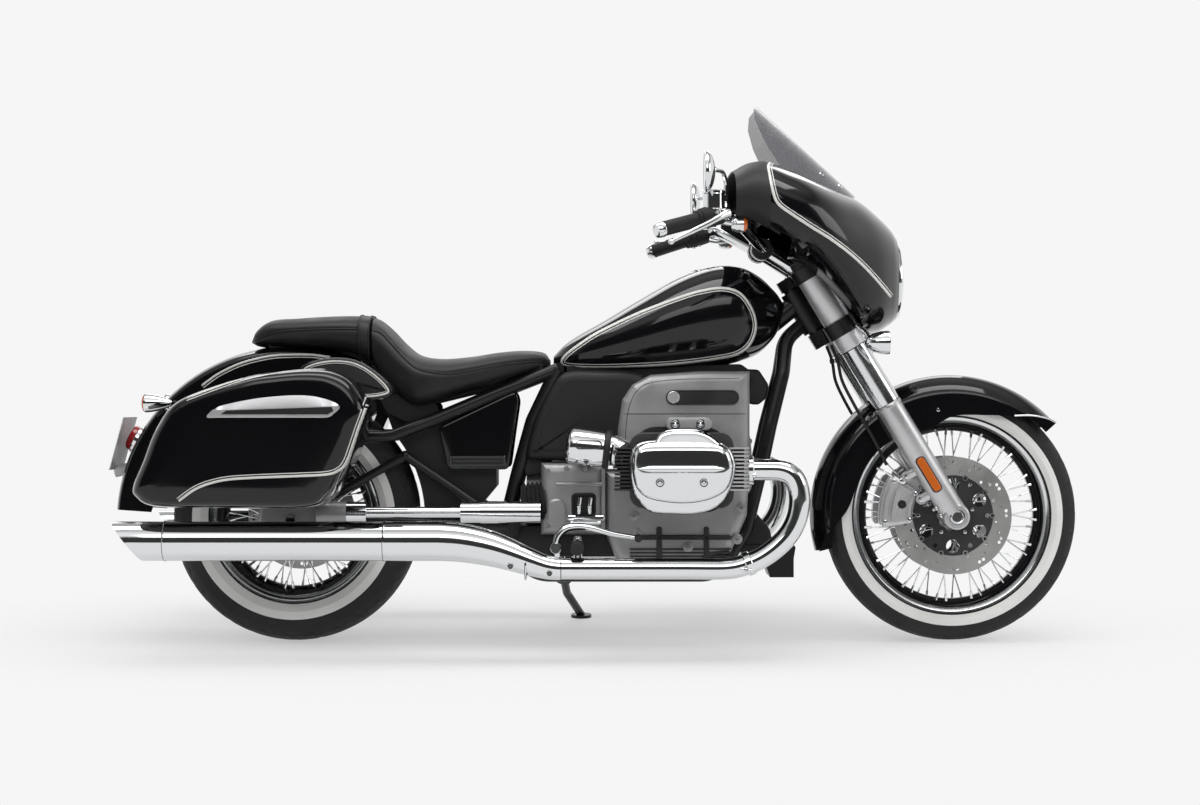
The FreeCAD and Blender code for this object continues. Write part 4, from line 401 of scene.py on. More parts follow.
def spline(points, per=8, closed=False):
    """Points along a smooth curve through the given ones, of two or three numbers each."""
    points = [Vector(point) for point in points]
    count = len(points)
    out = []
    spans = count if closed else count - 1
    for index in range(spans):
        if closed:
            before, here = points[index - 1], points[index]
            ahead, after = points[(index + 1) % count], points[(index + 2) % count]
        else:
            here, ahead = points[index], points[index + 1]
            before = points[index - 1] if index else here * 2 - ahead
            after = points[index + 2] if index + 2 < count else ahead * 2 - here
        for step in range(per):
            t = step / per
            out.append((here * 2 + (ahead - before) * t + (before * 2 - here * 5 + ahead * 4
                - after) * t * t + (here * 3 - before - ahead * 3 + after) * t * t * t) * 0.5)
    if not closed:
        out.append(points[-1])
    return [tuple(point) for point in out]


def bent(points, bend, steps=8):
    """Straight runs joined by arcs."""
    points = [Vector(point) for point in points]
    out = [points[0]]
    for index in range(1, len(points) - 1):
        before, corner, after = points[index - 1:index + 2]
        inward, onward = (corner - before).normalized(), (after - corner).normalized()
        turn = inward.angle(onward)
        if turn < 0.001:
            continue
        reach = min(bend * tan(turn / 2), 0.47 * (corner - before).length,
            0.47 * (after - corner).length)
        radius = reach / tan(turn / 2)
        start = corner - inward * reach
        inside = (onward - inward * cos(turn)).normalized()
        for step in range(steps + 1):
            angle = turn * step / steps
            out.append(start + inward * radius * sin(angle) + inside * radius * (1 - cos(angle)))
    out.append(points[-1])
    return [tuple(point) for point in out]


def tube(path, radius, steps=16, closed=False):
    """A round tube along a path, with one radius or one for each point."""
    path = [Vector(point) for point in path]
    radii = radius if isinstance(radius, list) else [radius] * len(path)
    side = None
    rows = []
    for index, point in enumerate(path):
        way = heading(path, index, closed).normalized()
        side = way.orthogonal().normalized() if side is None else side
        side = (side - way * side.dot(way)).normalized()
        other = way.cross(side)
        rows.append([tuple(point + (side * cos(turn) + other * sin(turn)) * radii[index])
            for turn in turns(steps)])
    return rings(rows, looped=closed)


def slab(outline, y_start, y_end):
    """An outline of (x, z) points as a plate between two places across the motorcycle."""
    near = [(x, y_start, z) for x, z in outline]
    far = [(x, y_end, z) for x, z in outline]
    return rings([near, far])


def ball(centre, radius, rows=12, steps=20):
    x, y, z = centre
    out = []
    for row in range(rows + 1):
        tilt = pi * row / rows
        out.append([(x + radius * sin(tilt) * cos(turn), y + radius * sin(tilt) * sin(turn),
            z + radius * cos(tilt)) for turn in turns(steps)])
    return rings(out, cap_start=False, cap_end=False)


def screw(place, way, radius, height):
    """A domed screw with a hexagonal socket."""
    end = tuple(Vector(place) + Vector(way) * height)
    spot = about_line(place, end)
    outer = lathe([(0, radius), (height * 0.6, radius), (height * 0.9, radius * 0.85),
        (height, radius * 0.5)], spot, 20)
    rows = [[spot(along, size, turn) for turn in turns(6)]
        for along, size in ((height, radius * 0.5), (height * 0.3, radius * 0.45))]
    return joined(outer, rings(rows, cap_start=False))


def section(x, low, high, half_width, fullness, count=56):
    """A rounded section across X, fuller than an ellipse above a fullness of one."""
    out = []
    for turn in turns(count):
        side = copysign(abs(cos(turn)) ** (1 / fullness), cos(turn))
        rise = copysign(abs(sin(turn)) ** (1 / fullness), sin(turn))
        out.append((x, half_width * side, (low + high) / 2 + (high - low) / 2 * rise))
    return out


def hull_rows(shares, start, bottom, length, height, half_width, fullness, per=6, count=56):
    """Smooth stations along X from rows of shares: place, low, high and half width."""
    rows = [(start + place * length, bottom + low * height, bottom + high * height,
        half_width * width) for place, low, high, width in shares]
    fine = spline([row[:3] for row in rows], per)
    widths = spline([(row[0], row[3], 0) for row in rows], per)
    return [section(x, low, high, width[1], fullness, count)
        for (x, low, high), width in zip(fine, widths)]


def surface_of(obj):
    """A search tree of a piece's final surface in the row frame."""
    graph = bpy.context.evaluated_depsgraph_get()
    return BVHTree.FromObject(obj, graph)


ACROSS = Vector((0, cos(LEAN), -sin(LEAN)))
RAY_START = 700


def on_surface(tree, x, z, side, lift):
    """The point of a surface seen straight from one side, lifted off it, and its normal."""
    origin = at(x, side * RAY_START, z)
    hit, normal, _, _ = tree.ray_cast(origin, -ACROSS * side)
    if hit is None:
        return None
    if normal.dot(ACROSS * side) < 0:
        normal = -normal
    return hit + normal * lift * MM, normal


def stripe(name, tree, path, width, side, body, slot, mat=stripe_white, closed=False, lift=0.35,
        steps=3):
    """A painted line that follows a path of (x, z) points on a surface."""
    path = [Vector((x, z)) for x, z in path]
    verts, faces, last = [], [], None
    for index, point in enumerate(path):
        way = heading(path, index, closed)
        across_way = Vector((-way.y, way.x)).normalized()
        row = []
        for step in range(steps):
            spot = point + across_way * width * (step / (steps - 1) - 0.5)
            found = on_surface(tree, spot.x, spot.y, side, lift)
            row.append(found[0] if found else None)
        if None in row:
            last = None
            continue
        begin = len(verts)
        verts += row
        if last is not None:
            for step in range(steps - 1):
                faces.append((last + step, last + step + 1, begin + step + 1, begin + step))
        last = begin
        if index == 0:
            first = begin
    if closed and last is not None and faces:
        for step in range(steps - 1):
            faces.append((last + step, last + step + 1, first + step + 1, first + step))
    mesh = bpy.data.meshes.new(name)
    mesh.from_pydata(verts, [], faces)
    mesh.materials.append(mat)
    mesh.shade_smooth()
    obj = placed(name, mesh)
    skin = obj.modifiers.new("film", "SOLIDIFY")
    skin.thickness = 0.3 * MM
    skin.offset = 0
    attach(obj, body)
    return obj


def offset_path(path, distance, closed=False):
    """A path moved sideways in its plane."""
    path = [Vector(point) for point in path]
    out = []
    for index, point in enumerate(path):
        way = heading(path, index, closed)
        out.append(tuple(point + Vector((-way.y, way.x)).normalized() * distance))
    return out

# Wheels

WHEELS = {
    "front": {"centre": (WHEELBASE, 0, FRONT_RADIUS), "radius": 326, "half": 60, "rim": 255,
        "rim_half": 44, "white": 286, "polish": 239, "hub": 69, "flange": 43, "crown": 15.6,
        "body": "front_wheel_body"},
    "rear": {"centre": (0, 0, REAR_RADIUS), "radius": 320, "half": 90, "rim": 219, "rim_half": 70,
        "white": 262, "polish": 200, "hub": 81, "flange": 45, "crown": 22.2,
        "body": "rear_wheel_body"},
}
TREAD_STEPS = 300
STEPS_PER_BLOCK = 10
TREAD_SLANT = 26
TREAD_DEPTH = 3.5
SPOKE_PAIRS = 15


def tyre_profile(wheel):
    """From the left bead over the crown to the right bead, and back inside."""
    radius, half, rim = wheel["radius"], wheel["half"], wheel["rim"]
    depth = radius - rim
    white = wheel["white"]
    shoulder = half * 0.82
    tread = [(shoulder * sin(radians(a)), radius - wheel["crown"] * (1 - cos(radians(a))))
        for a in (0, 14, 28, 42, 56, 70, 84)]
    wall = [(half * 0.9, radius - depth * 0.26), (half * 0.965, radius - depth * 0.36),
        (half * 0.985, white + 1.5), (half * 1.0, white - 1.0), (half * 0.985, (white + rim) / 2),
        (half * 0.92, rim + depth * 0.14), (half * 0.82, rim + 3), (wheel["rim_half"] - 2, rim + 1)]
    inner = [(wheel["rim_half"] - 6, rim - 8), (half * 0.7, rim + depth * 0.2),
        (half * 0.8, rim + depth * 0.5), (shoulder * 0.6, radius - wheel["crown"] - 8),
        (0, radius - 14)]
    loop = tread + wall + inner
    return loop[:-1] + [(-y, r) for y, r in loop[::-1]]


def make_tyre(prefix, wheel):
    profile = tyre_profile(wheel)
    spot = about_y(*wheel["centre"])
    shoulder = wheel["half"] * 0.82
    rows = []
    for step, turn in enumerate(turns(TREAD_STEPS)):
        row = []
        for y, radius in profile:
            depth = 0.0
            if radius > wheel["radius"] - wheel["crown"] - 4 and abs(y) < shoulder:
                slant = (step / STEPS_PER_BLOCK + abs(y) / TREAD_SLANT) % 1.0
                if abs(y) > wheel["half"] * 0.18 and slant < 0.22:
                    depth = TREAD_DEPTH
            row.append(spot(y, radius - depth, turn))
        rows.append(row)
    verts, faces = rings(rows, closed=True, looped=True)
    picks = []
    total = len(profile)
    for face in faces:
        index = face[0] % total
        y, radius = profile[index]
        other = profile[(index + 1) % total][1]
        middle = (radius + other) / 2
        outside = abs(y) > wheel["half"] * 0.8
        picks.append(1 if outside and wheel["rim"] + 2 < middle < wheel["white"] else 0)
    build(f"{prefix}_tyre_dressed", (verts, faces), [rubber, whitewall], wheel["body"],
        "tyre_rubber", f"{prefix}_tyre", picks, sharp=28)


def make_rim(prefix, wheel):
    half, rim, polish = wheel["rim_half"], wheel["rim"], wheel["polish"]
    lip = [(half - 1.5, rim), (half, rim - 1.5), (half, rim - 5), (half - 2, rim - 9),
        (half - 5, polish + 4), (half - 8, polish)]
    well = [(half - 11, polish - 3), (half * 0.6, polish - 11), (half * 0.3, polish - 21)]
    outer = [(half * 0.3, polish - 14), (half * 0.6, polish - 4), (half - 12, polish + 7),
        (half - 6, rim - 8), (half - 6, rim - 1)]
    loop = lip + well
    mirror = [(-y, r) for y, r in loop[::-1]]
    back = [(-y, r) for y, r in outer]
    profile = loop + mirror + back[::-1] + outer
    verts, faces = lathe(profile, about_y(*wheel["centre"]), 144, closed=True)
    total = len(profile)
    picks = [1 if face[0] % total < len(lip) - 1 or 2 * len(loop)
        - len(lip) <= face[0] % total < 2 * len(loop) - 1 else 0 for face in faces]
    build(f"{prefix}_rim", (verts, faces), [paint, polished], wheel["body"], "wheel_metal",
        f"{prefix}_wheel", picks, sharp=40)


def make_spokes(prefix, wheel):
    x, y, z = wheel["centre"]
    shapes, nipples = [], []
    inner, outer = 46, wheel["polish"] - 17
    for side in (-1, 1):
        for index in range(SPOKE_PAIRS):
            middle = 360 * (index + 0.25 * (1 + side)) / SPOKE_PAIRS
            for lean in (-1, 1):
                start_turn = radians(middle - lean * 30)
                end_turn = radians(middle + lean * 3.4)
                flange = y + side * (wheel["flange"] + 3.5 + lean * 2.4)
                foot = Vector((x + inner * cos(start_turn), flange, z + inner * sin(start_turn)))
                tip = Vector((x + outer * cos(end_turn), y + side * wheel["rim_half"] * 0.42,
                    z + outer * sin(end_turn)))
                shapes.append(tube([foot, tip], 1.9, 8))
                way = (tip - foot).normalized()
                nipples.append(lathe([(0, 2), (1, 3.4), (13, 3.6), (18, 4.6), (20, 4.6)],
                    about_line(tip - way * 16, tip), 8))
    build(f"{prefix}_spokes", joined(*shapes), polished, wheel["body"], "wheel_metal")
    build(f"{prefix}_nipples", joined(*nipples), chrome, wheel["body"], "wheel_metal")


def make_hub(prefix, wheel):
    hub, flange = wheel["hub"], wheel["flange"]
    half = [(0, 30), (flange - 8, 30), (flange - 3, 34), (flange, 47), (flange + 2, 50),
        (flange + 6, 50), (flange + 7.5, 47), (flange + 9, 33), (hub - 4, 30), (hub, 28), (hub, 13)]
    profile = [(-y, r) for y, r in half[:0:-1]] + half
    build(f"{prefix}_hub", lathe(profile, about_y(*wheel["centre"]), 72), satin_metal,
        wheel["body"], "wheel_metal")


DISC_OUTLINE_STEPS = 180
HOLE_STEPS = 12
INNER_WAVES = 10
WAVE_DEPTH = 2.5
HOLE_ANGLES = 36


def drilled_ring(outer, inner, holes, spot):
    """A flat ring with round holes of (radius, turn, size), filled between its edges."""
    work = bmesh.new()

    def loop(points):
        verts = [work.verts.new((u, v, 0)) for u, v in points]
        return [work.edges.new((verts[i - 1], verts[i])) for i in range(len(verts))]

    edges = []
    for radius, waves in ((outer, 0), (inner, INNER_WAVES)):
        edges += loop([((radius + WAVE_DEPTH * cos(waves * turn)) * cos(turn),
            (radius + WAVE_DEPTH * cos(waves * turn)) * sin(turn))
            for turn in turns(DISC_OUTLINE_STEPS)])
    for radius, turn, size in holes:
        u, v = radius * cos(turn), radius * sin(turn)
        edges += loop([(u + size * cos(way), v + size * sin(way)) for way in turns(HOLE_STEPS)])
    bmesh.ops.triangle_fill(work, use_beauty=True, use_dissolve=False, edges=edges)
    work.verts.index_update()
    shape = ([spot(0, hypot(vert.co.x, vert.co.y), atan2(vert.co.y, vert.co.x))
        for vert in work.verts], [tuple(v.index for v in face.verts) for face in work.faces])
    work.free()
    return shape


def make_brake_disc(name, centre, y, outer, body, replaces):
    """A drilled floating disc on a dark carrier with its buttons."""
    x, _, z = centre
    spot = about_y(x, y, z)
    side = 1 if y > 0 else -1
    holes = []
    for index, turn in enumerate(turns(HOLE_ANGLES)):
        holes.append((outer - 11 - 13 * (index % 3), turn, 4.4))
        if index % 3 == 0:
            holes.append((outer - 11, turn + pi / HOLE_ANGLES, 4.4))
    band = drilled_ring(outer, outer - 46, holes, spot)
    build(name, band, disc_steel, body, "disc_steel", replaces, thickness=4.5)
    windows = [(outer - 70, 2 * pi * (index + 0.5) / 6, 18) for index in range(6)]
    windows += [(outer - 60, turn, 6) for turn in turns(6)]
    carrier = drilled_ring(outer - 48, 40, windows, about_y(x, y + side * 1.5, z))
    build(name + "_carrier", carrier, engine_dark, body, "disc_steel", thickness=5)
    buttons = []
    for index, turn in enumerate(turns(10)):
        u, v = x + (outer - 48) * cos(turn), z + (outer - 48) * sin(turn)
        buttons.append(lathe([(-4.5, 4), (-4.5, 7), (4.5, 7), (5.5, 6), (5.5, 2.5), (4, 2)],
            about_y(u, y + side * 0.5, v), 16))
        bolt = 2 * pi * (index + 0.5) / 10
        if index % 2 == 0:
            buttons.append(screw((x + 52 * cos(bolt), y + side * 3, z + 52 * sin(bolt)),
                (0, side, 0), 5.5, 4))
    build(name + "_buttons", joined(*buttons), polished, body, "disc_steel")


for prefix, wheel in WHEELS.items():
    make_tyre(prefix, wheel)
    make_rim(prefix, wheel)
    make_spokes(prefix, wheel)
    make_hub(prefix, wheel)
for side_name, side in SIDES.items():
    make_brake_disc(f"front_disc_{side_name}", WHEELS["front"]["centre"], side * 72, 149,
        "front_wheel_body", "front_discs")
make_brake_disc("rear_disc_ring", WHEELS["rear"]["centre"], 84, 139, "rear_wheel_body", "rear_disc")

# Painted panels: tank, fairing, panniers and fenders

TANK_SHARES = [(0.0, 0.06, 0.15, 0.15), (0.05, 0.02, 0.26, 0.36), (0.12, 0.0, 0.36, 0.55),
    (0.22, 0.0, 0.48, 0.7), (0.37, 0.0, 0.67, 0.85), (0.54, 0.02, 0.87, 0.96),
    (0.69, 0.05, 0.98, 1.0), (0.81, 0.1, 0.98, 0.9), (0.9, 0.18, 0.89, 0.6),
    (0.97, 0.34, 0.75, 0.35), (1.0, 0.5, 0.66, 0.18)]
STRIPE_GAP = 4.2
THIN_STRIPE = 2.2
TANK_STRIPE = [(697, 738), (736, 768), (786, 799), (888, 847), (990, 885), (1041, 900), (1097, 908),
    (1142, 895), (1173, 857), (1185, 814), (1173, 771), (1142, 743), (1091, 730), (990, 717),
    (888, 710), (786, 707), (710, 710), (688, 718)]


def double_stripe(name, obj, path, side, body, closed=False, thick=6.5, inward=-1):
    """A broad line with a fine one beside it."""
    tree = surface_of(obj)
    inner = offset_path(path, inward * (thick / 2 + STRIPE_GAP), closed)
    for end, line, width in (("line", path, thick), ("thin_line", inner, THIN_STRIPE)):
        stripe(f"{name}_{end}", tree, line, width, side, body, "black_paint", closed=closed)


def make_tank():
    rows = hull_rows(TANK_SHARES, start=666, bottom=695, length=594, height=280, half_width=165,
        fullness=1.15)
    tank = build("tank_shell", rings(rows), paint, "chassis", "black_paint", "fuel_tank")
    for side_name, side in SIDES.items():
        double_stripe(f"tank_{side_name}", tank, spline(TANK_STRIPE, 10, True), side, "chassis",
            closed=True)
    cap = lathe([(-6, 38), (0, 40), (6, 40), (9, 38), (11, 30), (12, 0)], about_z(1063, 0, 951), 64)
    rim = lathe([(-8, 40), (-8, 45), (-3, 46), (0, 44), (1, 41)], about_z(1063, 0, 954), 64)
    build("filler_cap", joined(cap, rim), chrome, "chassis", "chrome", "fuel_cap")


FAIRING_SHARES = [(0.0, 0.56, 0.93, 0.98), (0.1, 0.54, 0.98, 1.0), (0.21, 0.47, 0.99, 0.99),
    (0.34, 0.41, 0.95, 0.96), (0.44, 0.38, 0.91, 0.92), (0.54, 0.29, 0.87, 0.86),
    (0.64, 0.18, 0.83, 0.78), (0.77, 0.04, 0.78, 0.65), (0.88, 0.03, 0.7, 0.53),
    (0.96, 0.07, 0.63, 0.41), (1.0, 0.1, 0.58, 0.33)]
FAIRING_STRIPE = [(1222, 1226), (1210, 1214), (1203, 1196), (1205, 1160), (1212, 1124),
    (1222, 1104), (1243, 1087), (1300, 1052), (1366, 1014), (1440, 962), (1525, 884)]


LAMP_HEIGHT = 931
LAMP_FACE = 1560
LAMP_OPENING = 98


def in_fork_space(x, y, z):
    """Whether an upright point lies where the fork and the bar pass through the fairing."""
    side = x - WHEELBASE
    rise = z - FRONT_RADIUS
    ahead = side * cos(RAKE) + rise * sin(RAKE)
    up = rise * cos(RAKE) - side * sin(RAKE)
    if abs(y) < 167 and -120.4 < ahead < 49 and up < 851:
        return True
    return 1104 < x < 1260 and abs(y) < 335 and z < 1094


def make_fairing():
    rows = hull_rows(FAIRING_SHARES, start=1120, bottom=783, length=430, height=455,
        half_width=390, fullness=1.25, per=8, count=96)
    verts, faces = rings(rows, cap_start=False, cap_end=False)
    kept, picks = [], []
    for face in faces:
        x, y, z = (sum(parts) / len(face) for parts in zip(*(verts[index] for index in face)))
        if in_fork_space(x, y, z) or (hypot(y, z - LAMP_HEIGHT) < LAMP_OPENING
                and x > 1474):
            continue
        kept.append(face)
        picks.append(1 if x < 1205 and z > 1050 else 0)
    shell = build("fairing_skin", (verts, kept), [paint, plastic], "steering", "black_paint",
        "fairing_shell", picks, thickness=4)
    for side_name, side in SIDES.items():
        double_stripe(f"fairing_{side_name}", shell, spline(FAIRING_STRIPE, 10), side, "steering",
            thick=7, inward=1)
    nose = lathe([(-70, 97), (-14, 99), (-4, 98), (2, 94), (3, 88), (-6, 86), (-20, 84)],
        about_x(LAMP_FACE, 0, LAMP_HEIGHT), 72)
    build("headlamp_ring", nose, chrome, "steering", "chrome", "front_lamps")
    glass = lathe([(-12, 87), (2, 80), (9, 62), (13, 38), (15, 0)],
        about_x(LAMP_FACE, 0, LAMP_HEIGHT), 72)
    build("headlamp_glass", glass, clear_glass, "steering", "chrome")
    lamps = []
    for side in SIDES.values():
        lamps += [
            lathe([(0, 4), (4, 13), (18, 23), (40, 29), (58, 30), (62, 29), (62, 24), (58, 22),
                (60, 0)], about_x(1455, side * 195, 768), 40),
            tube([(1470, side * 195, 768), (1462, side * 170, 790), (1440, side * 150, 812)], 7,
                12)]
    build("small_lamps", joined(*lamps), chrome, "steering", "chrome")


PANNIER_OUTLINE = [(0.2, 0.78), (0.47, 0.94), (0.63, 0.985), (0.76, 1.0), (0.86, 0.98), (0.94, 0.9),
    (1.0, 0.72), (0.97, 0.56), (0.9, 0.28), (0.83, 0.08), (0.73, 0.0), (0.4, 0.0), (0.1, 0.01),
    (0.01, 0.08), (0.0, 0.16), (0.04, 0.33), (0.1, 0.58)]
PANNIER_DEPTHS = [(0.0, 1.0), (0.2, 1.0), (0.4, 1.0), (0.6, 0.997), (0.75, 0.99), (0.84, 0.977),
    (0.9, 0.96), (0.94, 0.94), (0.97, 0.912), (0.985, 0.885), (0.993, 0.855), (1.0, 0.8),
    (1.0, 0.62), (1.0, 0.4), (1.0, 0.18)]


PANNIER_START, PANNIER_INNER, PANNIER_BOTTOM = -361, -188, 356
PANNIER_LENGTH, PANNIER_WIDTH, PANNIER_HEIGHT = 584, 235, 345
LID_SPLIT = 605
LID_GAP = 0.4
LID_STRIPE_CLEAR = 1.5


def pannier_rows():
    outline = spline(PANNIER_OUTLINE, 8, True)
    return [[(PANNIER_START + (0.5 + (u - 0.5) * scale) * PANNIER_LENGTH,
        PANNIER_INNER - depth * PANNIER_WIDTH,
        PANNIER_BOTTOM + (0.5 + (v - 0.5) * scale) * PANNIER_HEIGHT) for u, v in outline]
        for depth, scale in PANNIER_DEPTHS]


def split(shape, height, above):
    """The part of a shape above or below a height."""
    work = bmesh.new()
    verts = [work.verts.new(vert) for vert in shape[0]]
    for face in shape[1]:
        work.faces.new([verts[index] for index in face])
    geometry = work.verts[:] + work.edges[:] + work.faces[:]
    bmesh.ops.bisect_plane(work, geom=geometry, plane_co=(0, 0, height), plane_no=(0, 0, 1),
        clear_inner=above, clear_outer=not above, dist=0.001)
    work.verts.index_update()
    cut = ([tuple(vert.co) for vert in work.verts], [tuple(vert.index for vert in face.verts)
        for face in work.faces])
    work.free()
    return cut


LID_TOP_LINE = [(-222, 628), (-150, 655), (-80, 679), (0, 697), (60, 704), (110, 706), (160, 702),
    (196, 688), (214, 660), (218, 625), (210, 590), (196, 552), (180, 505), (166, 470), (150, 452),
    (120, 442), (40, 438), (-60, 434), (-130, 428), (-190, 410), (-238, 378)]
HANDLE_OUTLINE = [(-167, 581), (-154, 596), (-130, 610), (-39, 628), (58, 634.5), (118, 626),
    (154, 608), (140, 590), (124, 581), (80, 580.4), (0, 580.4), (-90, 580.4), (-140, 580.4)]


def make_panniers():
    rows = pannier_rows()
    whole = rings(rows, cap_start=False)
    case = split(whole, LID_SPLIT - LID_GAP / 2, False)
    lid = split(whole, LID_SPLIT + LID_GAP / 2, True)
    inner = rings([rows[0], [(x, y - 4, z) for x, y, z in rows[0]]])
    for side_name, side in SIDES.items():
        turn = (lambda shape: shape) if side < 0 else flipped
        slot, lid_body = "black_paint", f"{side_name}_lid"
        build(f"pannier_{side_name}", turn(case), paint, "chassis", slot,
            f"pannier_case_{side_name}", thickness=3.6)
        build(f"pannier_inner_wall_{side_name}", turn(inner), plastic, "chassis", slot)
        top = build(f"pannier_top_{side_name}", turn(lid), paint, lid_body, slot,
            f"pannier_lid_{side_name}", thickness=3.6)
        bottom = bpy.data.objects[f"pannier_{side_name}"]
        line = spline(LID_TOP_LINE, 8)
        upper = [point for point in line if point[1] > LID_SPLIT + LID_STRIPE_CLEAR]
        cuts = [index for index, point in enumerate(line)
            if point[1] <= LID_SPLIT - LID_STRIPE_CLEAR]
        lower = line[cuts[0]:]
        for name, path, obj, body in (("upper", upper, top, lid_body),
                ("lower", lower, bottom, "chassis")):
            double_stripe(f"pannier_{name}_{side_name}", obj, path, side, body, thick=6)
        build(f"pannier_handle_{side_name}", turn(handle_strip()), satin_metal, lid_body, "chrome",
            sharp=20)
        build(f"pannier_handle_inlay_{side_name}", turn(handle_inlay()), plastic, lid_body,
            "dark_plastic", sharp=20)
        pad = build(f"speaker_housing_{side_name}", turn(pad_shape(0, -223.5, -333.4)), paint,
            lid_body, slot, sharp=50)
        build(f"speaker_cover_{side_name}", turn(pad_shape(17, -331.5, -334.2)), plastic, lid_body,
            "dark_plastic", sharp=50)
        border = spline(PAD_OUTLINE, 8, True)
        for name, inset, width in (("outer", 9.0, 4.2), ("inner", 14.0, 1.6)):
            stripe(f"speaker_{name}_line_{side_name}", surface_of(pad), grown(border, -inset),
                width, side, lid_body, slot, closed=True)


PAD_OUTLINE = [(48, 697), (71, 717), (124, 727.6), (182, 722), (231, 695), (270, 656), (266, 633),
    (211, 623), (141, 633), (77, 660)]


def grown(outline, distance):
    """An outline pushed outwards, or inwards where the distance is below zero."""
    area = sum(a[0] * b[1] - b[0] * a[1] for a, b in zip(outline, outline[1:] + outline[:1]))
    return offset_path(outline, -distance if area > 0 else distance, True)


def pad_shape(inset, near, far):
    """The speaker housing's block, or its cover set in from the border."""
    outline = spline(PAD_OUTLINE, 8, True)
    rounding = 5.5 if not inset else 1.2
    rows = [[(x, near, z) for x, z in grown(outline, -inset)]]
    for step in range(5):
        turn = radians(90 * step / 4)
        rows.append([(x, far + rounding * (1 - sin(turn)), z)
            for x, z in grown(outline, -inset - rounding * (1 - cos(turn)))])
    return rings(rows)


def crest(x):
    """The height of the crease along the handle strip."""
    return 598 + (x + 168) * 0.034


def handle_strip():
    outline = spline(HANDLE_OUTLINE, 6, True)
    back, edge, lip, ridge = [], [], [], []
    for x, z in outline:
        height = crest(x)
        upper = z > height
        back.append((x, -424.4, z))
        edge.append((x, -425.4 if upper else -432.4, z))
        lip.append((x, -426.6 if upper else -433.8, z if upper else z + 1.8))
        along = max(-158, min(146, x))
        ridge.append((along, -433.8, crest(along) if upper else min(height - 0.5, z + 3.6)))
    return rings([back, edge, lip, ridge])


def handle_inlay():
    """The dark band set below the crease."""
    outline = [(-134, 588), (126, 588), (140, 596), (136, crest(136) - 2), (-120, crest(-120) - 2)]
    return slab(outline, -433.2, -434.3)


def fender_sheet(centre, radius, half, edge_rows, crown, crease):
    """A rolled fender whose lower edge runs at a radius for each turn about the wheel."""
    rows = []
    turns = spline([(turn, edge, 0) for turn, edge in edge_rows], 10)
    for turn, edge, _ in turns:
        angle = radians(turn)
        row = []
        count = 18
        for index in range(count + 1):
            share = index / count
            if share < 0.35:
                r = edge + (radius * crown - edge) * (share / 0.35)
                y = half
            else:
                part = (share - 0.35) / 0.65
                sweep = radians(crease + (90 - crease) * part)
                y = half * cos(sweep) / cos(radians(crease))
                low = sin(radians(crease))
                r = radius * (crown + (1 - crown) * (sin(sweep) - low) / (1 - low))
            row.append((centre[0] + r * cos(angle), -y, centre[2] + r * sin(angle)))
        row += [(x, -y, z) for x, y, z in row[-2::-1]]
        rows.append(row)
    return rings(rows, cap_start=False, cap_end=False, closed=False)


FRONT_FENDER_EDGE = [(42, 356), (46, 349), (52, 328), (60, 297), (70, 275), (79, 264), (90, 256),
    (99, 240), (106, 234), (115, 238), (130, 250), (144, 257), (160, 260), (171, 264), (178, 276),
    (184, 302), (190, 336), (195, 357)]
REAR_FENDER_CENTRE = (-10, 0, 312)
REAR_FENDER_RADIUS = 453
REAR_FENDER_EDGE = [(68, 336), (90, 336), (120, 336), (150, 338), (168, 342), (176, 352)]


def make_fenders():
    front = fender_sheet((WHEELBASE, 0, FRONT_RADIUS), radius=360, half=79,
        edge_rows=FRONT_FENDER_EDGE, crown=0.885, crease=38)
    build("front_mudguard", front, paint, "steering", "black_paint", "front_fender", thickness=2.6,
        sharp=30)
    tip, bolt = [], []
    for side in SIDES.values():
        tip.append(tube(spline([(1852, side * 80.3, 583), (1897, side * 80.3, 583.5),
            (1937, side * 80.3, 576), (1959, side * 80.3, 565)], 6), 2.4, 12))
        bolt.append(screw((1656, side * 80, 598), (0, side, 0), 5, 3.5))
    build("front_mudguard_trim", joined(*tip, *bolt), chrome, "steering", "chrome")
    rear = fender_sheet(REAR_FENDER_CENTRE, REAR_FENDER_RADIUS, half=114,
        edge_rows=REAR_FENDER_EDGE, crown=0.95, crease=0)
    fender = build("rear_mudguard", rear, paint, "chassis", "black_paint", "rear_fender",
        thickness=2.6)
    line = spline([(-232, 660), (-190, 690), (-130, 718), (-60, 735), (-10, 739), (50, 739),
        (96, 733)], 8)
    for side_name, side in SIDES.items():
        double_stripe(f"rear_mudguard_{side_name}", fender, line, side, "chassis", thick=5.5)


make_tank()
make_fairing()
make_panniers()
make_fenders()

# Engine, gearbox, cylinders with their covers, intakes and exhaust


def stacked(outline, levels, push=None, rows_in=5):
    """Rings of one outline across the motorcycle: (y, inset) and the weight of a push."""
    def moved(points, y, weight):
        return [(x, y + (push(x, z) * weight if push else 0), z) for x, z in points]

    rows = []
    for y, inset, *weight in levels:
        weight = weight[0] if weight else 0
        ring = grown(outline, -inset) if inset else outline
        rows.append(moved(ring, y, weight))
    middle_x = sum(x for x, _ in ring) / len(ring)
    middle_z = sum(z for _, z in ring) / len(ring)
    for step in range(1, rows_in + 1):
        share = 1 - step / (rows_in + 0.3)
        rows.append(moved([(middle_x + (x - middle_x) * share, middle_z + (z - middle_z) * share)
            for x, z in ring], y, weight))
    return rings(rows)


def pill(x_low, x_high, z, half_height, steps=10):
    """A slot's outline in the X-Z plane."""
    out = []
    for step in range(steps + 1):
        turn = pi * (step / steps - 0.5)
        out.append((x_high - half_height + half_height * cos(turn), z + half_height * sin(turn)))
    for step in range(steps + 1):
        turn = pi * (step / steps + 0.5)
        out.append((x_low + half_height + half_height * cos(turn), z + half_height * sin(turn)))
    return out


